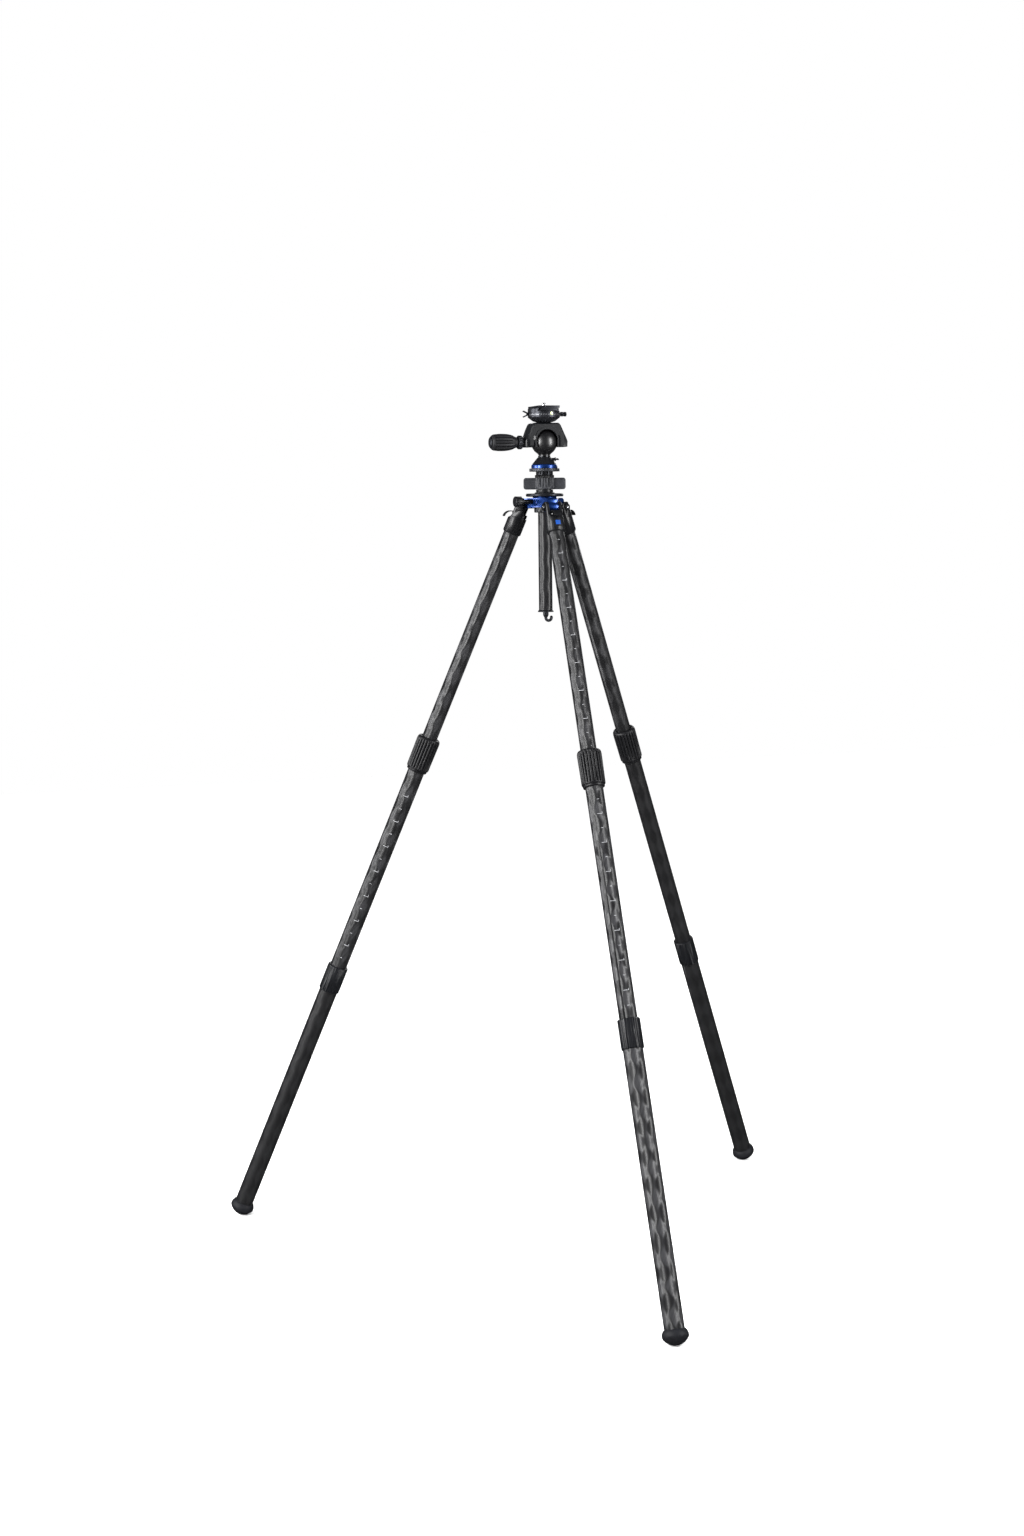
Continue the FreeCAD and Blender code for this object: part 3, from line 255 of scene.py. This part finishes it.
def carbonTube(name, tubeFrame, strength, radius, mark=None):
    material, tree = newMaterial(name)
    inverse = tubeFrame.inverted()
    place = addNode(tree, "ShaderNodeTexCoord").outputs["Object"]
    local = addNode(tree, "ShaderNodeMapping", {
        "Vector": place, "Location": inverse.to_translation(), "Rotation": inverse.to_euler()})
    parts = addNode(tree, "ShaderNodeSeparateXYZ", {0: local}).outputs
    angle = addNode(tree, "ShaderNodeMath", {0: parts["Y"], 1: parts["X"]}, operation="ARCTAN2")
    drift = addNode(tree, "ShaderNodeTexNoise", {
        "Vector": place, "Scale": carbon["driftPerMetre"], "Detail": noise["driftDetail"]}).outputs["Fac"]

    wander = addNode(tree, "ShaderNodeMath", {
        0: drift, 1: carbon["driftTurns"] * strength}, operation="MULTIPLY")
    turns = addNode(tree, "ShaderNodeMath", {
        0: angle, 1: carbon["tapesAround"], 2: wander}, operation="MULTIPLY_ADD")
    along = addNode(tree, "ShaderNodeMath", {
        0: parts["Z"], 1: 2 * math.pi * 1000 / carbon["pitchMm"]}, operation="MULTIPLY")
    waves = {}
    for index, sign in enumerate((1, -1)):
        phase = addNode(tree, "ShaderNodeMath", {0: along, 1: sign, 2: turns}, operation="MULTIPLY_ADD")
        waves[index] = addNode(tree, "ShaderNodeMath", {0: phase}, operation="SINE")
    checker = addNode(tree, "ShaderNodeMath", waves, operation="MULTIPLY")

    # the fibres of each set are noise drawn out along its own slant
    fibres = []
    for sign in (1, -1):
        slant = sign * math.tan(math.radians(carbon["slantDeg"])) / radius
        twist = addNode(tree, "ShaderNodeMath", {0: parts["Z"], 1: slant}, operation="MULTIPLY")
        unwound = addNode(tree, "ShaderNodeVectorRotate", {
            "Vector": local, "Angle": twist}, rotation_type="Z_AXIS")
        drawn = addNode(tree, "ShaderNodeVectorMath", {
            0: unwound, 1: (1, 1, carbon["fibreSquash"])}, operation="MULTIPLY")
        strands = addNode(tree, "ShaderNodeTexNoise", {
            "Vector": drawn, "Scale": 1000 / carbon["fibreMm"] / 2, "Detail": noise["grainDetail"]})
        fibres.append(strands.outputs["Fac"])
    patch = addNode(tree, "ShaderNodeMapRange", {
        "Value": checker, "From Min": -carbon["patchEdge"], "From Max": carbon["patchEdge"],
        "To Min": 0.0, "To Max": 1.0}, interpolation_type="SMOOTHSTEP")
    grain = addNode(tree, "ShaderNodeMix", {0: patch, "A": fibres[0], "B": fibres[1]})

    # colour: partly painted sheen, with one set of tapes coloured lighter than the other, and partly the
    # fibres' own tone
    driftShade = addNode(tree, "ShaderNodeMath", {0: drift, 1: tapeSheenTone["drift"]}, operation="MULTIPLY")
    grainShade = addNode(tree, "ShaderNodeMath", {
        0: grain, 1: tapeSheenTone["grain"], 2: driftShade}, operation="MULTIPLY_ADD")
    shade = addNode(tree, "ShaderNodeMath", {
        0: patch, 1: tapeSheenTone["patch"], 2: grainShade}, operation="MULTIPLY_ADD")
    lifted = addNode(tree, "ShaderNodeMath", {0: shade, 1: tapeSheenTone["below"]}, operation="SUBTRACT")
    tone = addNode(tree, "ShaderNodeMath", {0: lifted, 1: strength}, operation="MULTIPLY")
    ramp = addNode(tree, "ShaderNodeValToRGB", {0: tone})
    stops = ramp.color_ramp.elements
    stops[0].position, stops[0].color = carbon["darkAt"], linear(carbon["dark"])
    stops[1].position, stops[1].color = carbon["paleAt"], linear(carbon["pale"])
    stops.new(carbon["midAt"]).color = linear(carbon["mid"])
    colour = ramp.outputs["Color"]
    if mark:
        colour = graduations(tree, parts["Z"], angle, colour, mark)

    # sheen: the normal leans round the tube, one way on one tape and the other way on the next
    normal = addNode(tree, "ShaderNodeNewGeometry").outputs["Normal"]
    axis = tubeFrame.to_3x3() @ Vector((0, 0, 1))
    across = addNode(tree, "ShaderNodeVectorMath", {0: axis, 1: normal}, operation="CROSS_PRODUCT")
    patchLean = addNode(tree, "ShaderNodeMath", {0: patch, 1: tapeLean["patch"]}, operation="MULTIPLY")
    grainLean = addNode(tree, "ShaderNodeMath", {
        0: grain, 1: tapeLean["grain"], 2: tapeLean["start"]}, operation="MULTIPLY_ADD")
    bothLean = addNode(tree, "ShaderNodeMath", {0: patchLean, 1: grainLean}, operation="ADD")
    lean = addNode(tree, "ShaderNodeMath", {
        0: bothLean, 1: tapeLean["tilt"] * strength}, operation="MULTIPLY")
    sideways = addNode(tree, "ShaderNodeVectorMath", {0: across, "Scale": lean}, operation="SCALE")
    leaning = addNode(tree, "ShaderNodeVectorMath", {0: normal, 1: sideways}, operation="ADD")
    leant = addNode(tree, "ShaderNodeVectorMath", {0: leaning}, operation="NORMALIZE")
    shader = addNode(tree, "ShaderNodeBsdfPrincipled", {
        "Base Color": colour, "Roughness": carbon["rough"], "Normal": leant,
        "Specular IOR Level": carbon["specular"]})
    addNode(tree, "ShaderNodeOutputMaterial", {"Surface": shader})
    return material


# printed graduations: a long line every 50 mm with a short one half way, drawn 0.6 mm thick. Each long line
# ends in a plain upright stroke where a numeral would stand.
ruler = dict(stepMm=50, thickMm=0.6, longArc=17, shortArc=7, strokeMm=3.2, strokeArc=1.1, strokeInset=2,
             ink="#9b9c9f")


def graduations(tree, height, angle, colour, mark):
    stroke = ruler["strokeMm"] / ruler["stepMm"]
    thin = ruler["thickMm"] / ruler["stepMm"] / 2
    rows = {ruler["longArc"]: mark["firstMm"], ruler["shortArc"]: mark["firstMm"] + ruler["stepMm"] / 2}
    masks = []
    down = addNode(tree, "ShaderNodeMath", {0: height, 1: -1000}, operation="MULTIPLY")
    for halfArc, firstMm in rows.items():
        past = addNode(tree, "ShaderNodeMath", {0: down, 1: firstMm}, operation="SUBTRACT")
        count = addNode(tree, "ShaderNodeMath", {0: past, 1: ruler["stepMm"]}, operation="DIVIDE")
        whole = addNode(tree, "ShaderNodeMath", {0: count}, operation="ROUND")
        offset = addNode(tree, "ShaderNodeMath", {0: count, 1: whole}, operation="SUBTRACT")
        away = addNode(tree, "ShaderNodeMath", {0: offset}, operation="ABSOLUTE")
        line = addNode(tree, "ShaderNodeMath", {0: away, 1: thin}, operation="LESS_THAN")
        turned = addNode(tree, "ShaderNodeMath", {
            0: angle, 1: math.radians(mark["centreDeg"])}, operation="SUBTRACT")
        aside = addNode(tree, "ShaderNodeMath", {0: turned}, operation="ABSOLUTE")
        within = addNode(tree, "ShaderNodeMath", {0: aside, 1: math.radians(halfArc)}, operation="LESS_THAN")
        masks.append(addNode(tree, "ShaderNodeMath", {0: line, 1: within}, operation="MULTIPLY"))
        if halfArc == ruler["longArc"]:
            raised = addNode(tree, "ShaderNodeMath", {0: count, 1: stroke}, operation="ADD")
            share = addNode(tree, "ShaderNodeMath", {0: raised}, operation="FRACT")
            above = addNode(tree, "ShaderNodeMath", {0: share, 1: stroke}, operation="LESS_THAN")
            strokeAt = math.radians(mark["centreDeg"] + halfArc - ruler["strokeInset"])
            beside = addNode(tree, "ShaderNodeMath", {0: angle, 1: strokeAt}, operation="SUBTRACT")
            off = addNode(tree, "ShaderNodeMath", {0: beside}, operation="ABSOLUTE")
            upright = addNode(tree, "ShaderNodeMath", {
                0: off, 1: math.radians(ruler["strokeArc"])}, operation="LESS_THAN")
            masks.append(addNode(tree, "ShaderNodeMath", {0: above, 1: upright}, operation="MULTIPLY"))
    after = addNode(tree, "ShaderNodeMath", {0: down, 1: mark["fromMm"]}, operation="GREATER_THAN")
    before = addNode(tree, "ShaderNodeMath", {0: down, 1: mark["toMm"]}, operation="LESS_THAN")
    span = addNode(tree, "ShaderNodeMath", {0: after, 1: before}, operation="MULTIPLY")
    longMark = addNode(tree, "ShaderNodeMath", {0: masks[0], 1: masks[1]}, operation="MAXIMUM")
    anyMark = addNode(tree, "ShaderNodeMath", {0: longMark, 1: masks[2]}, operation="MAXIMUM")
    mask = addNode(tree, "ShaderNodeMath", {0: anyMark, 1: span}, operation="MULTIPLY")
    return addNode(tree, "ShaderNodeMix", {
        0: mask, "A": colour, "B": linear(ruler["ink"])}, data_type="RGBA").outputs["Result"]


# heights are measured down from the leg pivot, and the centre is an angle round the tube
marks = {
    "upper_tube_front": dict(firstMm=91, fromMm=60, toMm=440, centreDeg=-10),
    "middle_tube_front": dict(firstMm=558, fromMm=520, toMm=895, centreDeg=-8),
    "middle_tube_left": dict(firstMm=558, fromMm=540, toMm=895, centreDeg=98),
}
# how strongly the tapes show on each tube, set tube by tube for how the light falls on it: a lower value
# colours the tube darker as painted shade and weakens its painted sheen
sheen = {
    "left": dict(upper=0.95, middle=0.85, lower=0.5),
    "front": dict(upper=0.85, middle=1.0, lower=1.0),
    "right": dict(upper=0.8, middle=0.5, lower=0.4),
}
tube = dict(legRadius=0.015, columnRadius=0.012, columnSheen=0.35)
ownLooks = {}  # nodes that don't take the plain finish of their slot
for side, strengths in sheen.items():
    for part, strength in strengths.items():
        node = part + "_tube_" + side
        ownLooks[node] = carbonTube("carbon_" + part + "_" + side, legFrames[side], strength,
                                    tube["legRadius"], marks.get(node))
ownLooks["column_tube"] = carbonTube("carbon_column", Matrix.Translation(crownCentre), tube["columnSheen"],
                                     tube["columnRadius"])
ownLooks["ball_stem"] = materials["ball_black"]


def looksOf(node):
    return ownLooks.get(node) or materials[slotOf[node]]


print("stage: rebuilt pieces")
mergeStep = 0.00001  # corners closer than this are one corner


def only(obj):
    bpy.ops.object.select_all(action="DESELECT")
    obj.select_set(True)
    bpy.context.view_layer.objects.active = obj


def finishPiece(piece, node, replaced=(), material=None, smooth=35):
    only(piece)
    bpy.ops.object.shade_smooth_by_angle(angle=math.radians(smooth))
    piece.data.materials.clear()
    piece.data.materials.append(material or looksOf(node))
    for name in replaced:
        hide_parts(name)
    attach(piece, bodyOf[node])


def secondFinish(piece, finish, picks):
    # a second finish for the faces that picks() chooses by their middle
    only(piece)
    piece.data.materials.append(finish)
    piece.active_material_index = len(piece.data.materials) - 1
    bpy.ops.object.mode_set(mode="EDIT")
    bpy.ops.mesh.select_mode(type="FACE")
    bpy.ops.mesh.select_all(action="DESELECT")
    bpy.ops.object.mode_set(mode="OBJECT")
    for face in piece.data.polygons:
        face.select = picks(face.center)
    bpy.ops.object.mode_set(mode="EDIT")
    bpy.ops.object.material_slot_assign()
    bpy.ops.object.mode_set(mode="OBJECT")


def settle(piece, place):
    # the place goes into the mesh, so that the object itself stays at the origin
    only(piece)
    piece.matrix_world = place
    bpy.ops.object.transform_apply(location=True, rotation=True, scale=True)


def lathe(name, outline, columns):
    # a ring of points pulled along a closed outline of (radius, height) in millimetres
    bpy.ops.object.select_all(action="DESELECT")
    radius, height = outline[0]
    bpy.ops.mesh.primitive_circle_add(vertices=columns, radius=radius / 1000, location=(0, 0, height / 1000))
    piece = bpy.context.object
    piece.name = name
    bpy.ops.object.transform_apply(location=True, rotation=True, scale=True)
    bpy.ops.object.mode_set(mode="EDIT")
    bpy.ops.mesh.select_all(action="SELECT")
    for nextRadius, nextHeight in outline[1:] + outline[:1]:
        rise = (nextHeight - height) / 1000
        bpy.ops.mesh.extrude_edges_move(TRANSFORM_OT_translate={"value": (0, 0, rise)})
        ratio = nextRadius / radius
        bpy.ops.transform.resize(value=(ratio, ratio, 1), center_override=(0, 0, nextHeight / 1000))
        radius, height = nextRadius, nextHeight
    bpy.ops.mesh.select_all(action="SELECT")
    bpy.ops.mesh.remove_doubles(threshold=mergeStep / 2)
    bpy.ops.mesh.normals_make_consistent(inside=False)
    bpy.ops.object.mode_set(mode="OBJECT")
    return piece


# A fluted piece says how many flutes it has, how deep each column of a flute goes as a share of depth, and how
# far its wall stands over the least radius. Its wall and floor are each a lowest height, a highest height and a
# least radius in millimetres: grooves are pressed into the wall, and the floor is coloured darker as painted
# shade.
def columnsOf(fluted):
    return fluted["flutes"] * len(fluted["shares"])


def flute(piece, fluted):
    low, high, outer = fluted["wall"]
    for index, share in enumerate(fluted["shares"]):
        if not share:
            continue
        only(piece)
        bpy.ops.object.mode_set(mode="EDIT")
        bpy.ops.mesh.select_mode(type="VERT")
        bpy.ops.mesh.select_all(action="DESELECT")
        bpy.ops.object.mode_set(mode="OBJECT")
        for vertex in piece.data.vertices:
            x, y, z = vertex.co * 1000
            column = round(math.atan2(y, x) / (2 * math.pi) * columnsOf(fluted)) % len(fluted["shares"])
            vertex.select = column == index and low < z < high and math.hypot(x, y) > outer
        bpy.ops.object.mode_set(mode="EDIT")
        ratio = 1 - fluted["depth"] * share / (outer + fluted["wallOver"])
        bpy.ops.transform.resize(value=(ratio, ratio, 1), center_override=(0, 0, 0))
        bpy.ops.object.mode_set(mode="OBJECT")


def inGroove(place, fluted):
    # true on the floor of a groove, in the frame that the fluted piece was turned in
    back = place.inverted()
    low, high, outer = fluted["floor"]

    def picks(point):
        x, y, z = (back @ point) * 1000
        column = math.floor(math.atan2(y, x) / (2 * math.pi) * columnsOf(fluted)) % len(fluted["shares"])
        return low < z < high and math.hypot(x, y) > outer and column == 0
    return picks


# fluted twist collars: rounded shoulder above, a narrow ring below
upperLock = dict(flutes=22, shares=(1, 1, 0.15, 0, 0, 0.15), depth=2.0, wallOver=2,
                 wall=(-502, -449, 19.0), floor=(-502, -449, 17))
collarOutline = [
    (15.5, -509.4), (17.8, -509.4), (18.5, -508.6), (18.6, -506.6), (18.0, -506.2), (18.0, -505.4),
    (19.4, -505.0), (20.1, -504.0), (20.4, -502.6), (20.5, -501.2), (20.8, -476), (21.1, -454),
    (21.15, -452.6), (20.95, -449.6), (20.2, -447.0), (19.0, -445.0), (17.6, -444.2), (16.6, -444.1),
    (16.2, -444.5), (15.9, -445.2), (14.3, -445.2), (14.1, -445.6), (14.1, -450), (15.5, -450)]
for side, place in legFrames.items():
    collar = lathe("upper_lock_" + side + "_shape", collarOutline, columnsOf(upperLock))
    flute(collar, upperLock)
    settle(collar, place)
    finishPiece(collar, "upper_lock_" + side, ["upper_lock_" + side], smooth=50)
    # painted shade: the floors of the grooves take a darker rubber colour
    secondFinish(collar, materials["groove_shade_rubber"], inGroove(place, upperLock))

# blue ring under the head: a rounded band with one shallow line round it
ringColumns = 96
ringOutline = [(5, 67.6), (22.4, 67.6), (23.0, 68.1), (23.1, 68.8), (23.1, 70.3), (22.8, 70.5), (22.8, 70.8),
               (23.1, 71.0), (23.0, 72.2), (22.5, 73.6), (21.6, 74.5), (5, 74.55)]
ringPiece = lathe("pan_ring_shape", ringOutline, ringColumns)
settle(ringPiece, Matrix.Translation(crownCentre))
finishPiece(ringPiece, "pan_ring", ["pan_ring"], smooth=40)

# handle grip: a barrel with long soft flutes, drawn in to the neck
grip = dict(flutes=14, shares=(1, 1, 0.5, 0, 0, 0.5), depth=1.3, wallOver=2,
            wall=(60, 92, 12.9), floor=(60, 92, 10), headAbovePivots=0.1127)
gripOutline = [
    (5.4, 51.1), (8.6, 51.1), (9.3, 51.8), (9.6, 53.4), (10.6, 55.6), (12.0, 58.2), (13.1, 61.2),
    (14.0, 65.2), (14.6, 69.5), (15.0, 75), (15.1, 80.5), (14.9, 85.5), (14.4, 90), (13.9, 93.2),
    (13.4, 94.6), (12.6, 95.4), (12.3, 96.4), (11.4, 97.3), (5.4, 97.4)]
gripPiece = lathe("handle_grip_shape", gripOutline, columnsOf(grip))
flute(gripPiece, grip)
headCentre = middle("ball_stem") * Vector((0, 1, 0)) + Vector((0, 0, pivotHeight + grip["headAbovePivots"]))
gripPlace = Matrix.Translation(headCentre) @ Matrix.Rotation(math.radians(-90), 4, "Y")
settle(gripPiece, gripPlace)
finishPiece(gripPiece, "handle_grip", ["handle_grip"], smooth=50)
# painted shade: the floors of the grooves take a darker rubber colour
secondFinish(gripPiece, materials["groove_shade_rubber"], inGroove(gripPlace, grip))

# column lock: a fluted hub with two flat thumb wings, each with a shallow recessed panel
lock = dict(flutes=18, shares=(1, 1, 0.5, 0, 0, 0.5), depth=2.0, wallOver=2,
            wall=(35.5, 60, 14.9), floor=(36, 51, 12.8), hubReach=0.0157)
hubOutline = [(12.4, 31.0), (14.6, 31.0), (15.3, 31.6), (15.5, 32.8), (15.5, 34.6), (15.5, 36.2),
              (15.5, 49.0), (15.5, 51.3), (12.4, 51.3)]
hub = lathe("column_lock_shape", hubOutline, columnsOf(lock))
flute(hub, lock)
thumbWing = dict(out=0.0255, level=0.04115, size=(0.023, 0.0052, 0.0203), tipFrom=0.03, thin=0.001,
                 corner=0.0045, cornerSteps=5, rim=0.0016, step=0.0004, recess=0.0007, easing=0.0006,
                 easingSteps=2, easingFrom=math.radians(50))
wings = []
for direction in (1, -1):
    bpy.ops.object.select_all(action="DESELECT")
    bpy.ops.mesh.primitive_cube_add(size=1, location=(direction * thumbWing["out"], 0, thumbWing["level"]))
    wing = bpy.context.object
    wing.scale = thumbWing["size"]
    bpy.ops.object.transform_apply(location=True, rotation=True, scale=True)

    # round the two upright corners at the tip
    bpy.ops.object.mode_set(mode="EDIT")
    bpy.ops.mesh.select_mode(type="EDGE")
    bpy.ops.mesh.select_all(action="DESELECT")
    bpy.ops.object.mode_set(mode="OBJECT")
    for edge in wing.data.edges:
        ends = [wing.data.vertices[i].co for i in edge.vertices]
        atTip = all(abs(end.x) > thumbWing["tipFrom"] for end in ends)
        edge.select = atTip and abs(ends[0].y - ends[1].y) > thumbWing["thin"]
    bpy.ops.object.mode_set(mode="EDIT")
    bpy.ops.mesh.bevel(offset=thumbWing["corner"], segments=thumbWing["cornerSteps"], affect="EDGES")

    # sink a panel into each broad face
    bpy.ops.mesh.select_mode(type="FACE")
    bpy.ops.mesh.select_all(action="DESELECT")
    bpy.ops.object.mode_set(mode="OBJECT")
    for face in wing.data.polygons:
        face.select = abs(face.normal.y) > 0.9
    bpy.ops.object.mode_set(mode="EDIT")
    bpy.ops.mesh.inset(thickness=thumbWing["rim"], depth=0)
    bpy.ops.mesh.inset(thickness=thumbWing["step"], depth=-thumbWing["recess"])
    bpy.ops.object.mode_set(mode="OBJECT")
    rounding = wing.modifiers.new("rounding", "BEVEL")
    rounding.width = thumbWing["easing"]
    rounding.segments = thumbWing["easingSteps"]
    rounding.limit_method = "ANGLE"
    rounding.angle_limit = thumbWing["easingFrom"]
    bpy.ops.object.modifier_apply(modifier=rounding.name)
    wings.append(wing)
bpy.ops.object.select_all(action="DESELECT")
for piece in wings + [hub]:
    piece.select_set(True)
bpy.context.view_layer.objects.active = hub
bpy.ops.object.join()
hubPlace = Matrix.Translation(crownCentre) @ around
settle(hub, hubPlace)
finishPiece(hub, "column_lock", ["column_lock"], smooth=45)


def inHubGroove(point):
    # the wings lie further out than the hub, and keep the plain rubber
    return inGroove(hubPlace, lock)(point) and (hubPlace.inverted() @ point).xy.length < lock["hubReach"]


# painted shade: the floors of the hub's grooves take a darker rubber colour
secondFinish(hub, materials["groove_shade_rubber"], inHubGroove)

# blue enamel field on the badge, cut from the middle of its frame and just proud of it, with no lettering
badge = dict(face=0.0165, level=-0.035, halfWide=0.0043, halfTall=0.0039, proud=0.00015)
badgeField = bpy.data.objects.new("badge_field", nodes["leg_badge"].data.copy())
bpy.context.scene.collection.objects.link(badgeField)
settle(badgeField, legFrames["front"].inverted())
bpy.ops.object.mode_set(mode="EDIT")
bpy.ops.mesh.select_all(action="SELECT")
bpy.ops.mesh.remove_doubles(threshold=mergeStep)
for sideways, upwards in ((1, 0), (-1, 0), (0, 1), (0, -1)):
    border = (badge["face"], badge["halfWide"] * sideways, badge["level"] + badge["halfTall"] * upwards)
    bpy.ops.mesh.select_all(action="SELECT")
    bpy.ops.mesh.bisect(plane_co=border, plane_no=(0, sideways, upwards), use_fill=True, clear_outer=True)
bpy.ops.mesh.select_all(action="SELECT")
bpy.ops.transform.translate(value=(badge["proud"], 0, 0))
bpy.ops.object.mode_set(mode="OBJECT")
settle(badgeField, legFrames["front"])
finishPiece(badgeField, "leg_badge", material=materials["badge_blue"])


def printScale(material, centre, scale):
    # pale index lines round a turned edge, worked out from the angle round its axis
    tree = material.node_tree
    shader = next(item for item in tree.nodes if item.type == "BSDF_PRINCIPLED")
    plain = shader.inputs["Base Color"].links[0].from_socket
    place = addNode(tree, "ShaderNodeTexCoord").outputs["Object"]
    local = addNode(tree, "ShaderNodeVectorMath", {0: place, 1: centre}, operation="SUBTRACT")
    parts = addNode(tree, "ShaderNodeSeparateXYZ", {0: local}).outputs
    angle = addNode(tree, "ShaderNodeMath", {0: parts["Y"], 1: parts["X"]}, operation="ARCTAN2")
    count = addNode(tree, "ShaderNodeMath", {0: angle, 1: math.radians(scale["stepDeg"])}, operation="DIVIDE")
    share = addNode(tree, "ShaderNodeMath", {0: count}, operation="FRACT")
    offset = addNode(tree, "ShaderNodeMath", {0: share, 1: 0.5}, operation="SUBTRACT")
    away = addNode(tree, "ShaderNodeMath", {0: offset}, operation="ABSOLUTE")
    line = addNode(tree, "ShaderNodeMath", {0: away, 1: scale["halfLine"]}, operation="LESS_THAN")
    rise = addNode(tree, "ShaderNodeMath", {0: parts["Z"], 1: scale["levelMm"] / 1000}, operation="SUBTRACT")
    level = addNode(tree, "ShaderNodeMath", {0: rise}, operation="ABSOLUTE")
    band = addNode(tree, "ShaderNodeMath", {0: level, 1: scale["tallMm"] / 2000}, operation="LESS_THAN")
    mask = addNode(tree, "ShaderNodeMath", {0: line, 1: band}, operation="MULTIPLY")
    mixed = addNode(tree, "ShaderNodeMix", {
        0: mask, "A": plain, "B": linear(scale["ink"])}, data_type="RGBA").outputs["Result"]
    tree.links.new(mixed, shader.inputs["Base Color"])


# degree lines round the bowl of the clamp; half a line's width is a share of the step between two
bowlScale = dict(stepDeg=6, halfLine=0.12, levelMm=160.4, tallMm=2.8, ink="#77787b")
printScale(materials["clamp_grey"], crownCentre, bowlScale)

print("stage: carried over pieces")
easing = dict(segments=2, fromAngle=math.radians(35), flat=math.radians(0.5))
# how far each node's edges are eased, in millimetres; the others stay crisp
easedMm = dict(spider=0.6, crown_plate=0.3, clamp_base=0.3, quick_release_plate=0.3, leg_casting_left=0.4,
               leg_casting_front=0.4, leg_casting_right=0.4, leg_pivot_bolts=0.2, column_head=0.15,
               side_knob=0.3)
rebuilt = {"handle_grip", "column_lock", "pan_ring"} | {"upper_lock_" + side for side in legFrames}
housingFront = dict(behindEdge=0.001, flat=0.0002, archHalf=0.0205, edgeGap=0.0005, chamfer=0.0024)
boltRecess = dict(radius=0.0034, near=0.0150, far=0.0179)


def smoothCopy(node):
    # the node's own shape with its triangles merged and its edges eased
    piece = bpy.data.objects.new(node + "_shape", nodes[node].data.copy())
    bpy.context.scene.collection.objects.link(piece)
    only(piece)
    bpy.ops.object.mode_set(mode="EDIT")
    bpy.ops.mesh.select_all(action="SELECT")
    bpy.ops.mesh.remove_doubles(threshold=mergeStep)
    bpy.ops.mesh.dissolve_limited(angle_limit=easing["flat"])
    bpy.ops.object.mode_set(mode="OBJECT")
    if node in easedMm:
        edge = piece.modifiers.new("softEdge", "BEVEL")
        edge.width = easedMm[node] / 1000
        edge.segments = easing["segments"]
        edge.limit_method = "ANGLE"
        edge.angle_limit = easing["fromAngle"]
        edge.use_clamp_overlap = True
        bpy.ops.object.modifier_apply(modifier=edge.name)
    finishPiece(piece, node, [node])
    return piece


def chamferFront(piece):
    # breaks the outer edges of the housing's flat front, leaving the arch and the lower edge alone
    low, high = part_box("housing")
    plane = low.y + housingFront["behindEdge"]
    gap = housingFront["edgeGap"]
    only(piece)
    bpy.ops.object.mode_set(mode="EDIT")
    bpy.ops.mesh.select_mode(type="EDGE")
    bpy.ops.mesh.select_all(action="DESELECT")
    bpy.ops.object.mode_set(mode="OBJECT")
    for edge in piece.data.edges:
        ends = [piece.data.vertices[i].co for i in edge.vertices]
        centre = (ends[0] + ends[1]) / 2
        onFront = all(abs(end.y - plane) < housingFront["flat"] for end in ends)
        outside = centre.z > high.z - gap or abs(centre.x) > housingFront["archHalf"]
        edge.select = onFront and outside and centre.z > low.z + gap
    bpy.ops.object.mode_set(mode="EDIT")
    bpy.ops.mesh.bevel(offset=housingFront["chamfer"], segments=1, affect="EDGES")
    bpy.ops.object.mode_set(mode="OBJECT")


def inBoltRecess(point):
    spots = [place.inverted() @ point for place in legFrames.values()]
    return any(spot.xz.length < boltRecess["radius"] and boltRecess["near"] < abs(spot.y) < boltRecess["far"]
               for spot in spots)


for node in nodes:
    if node in rebuilt:
        continue
    piece = smoothCopy(node)
    if node == "leg_pivot_bolts":
        # black heads, with bright steel in the hex recess only
        piece.data.materials[0] = materials["casting_black"]
        secondFinish(piece, materials["steel"], inBoltRecess)
    if node == "housing":
        chamferFront(piece)
        finishPiece(piece, node)

print("stage: floor")
# matt white paper, nearly even
paper = dict(dark="#f4f4f4", light="#fbfbfb", metal=0.0, rough=0.85, roughSpread=0.03, grainMm=3, cloudMm=900,
             bump=0.02, depthMm=0.0175, specular=0.2)
ground = dict(size=14, below=0.0005)
bpy.ops.object.select_all(action="DESELECT")
bpy.ops.mesh.primitive_plane_add(size=ground["size"], location=(0, 0, -ground["below"]))
floor = bpy.context.object
floor.name = "paleFloor"
floor.data.materials.append(surface("palePaper", paper))
floor.visible_glossy = False
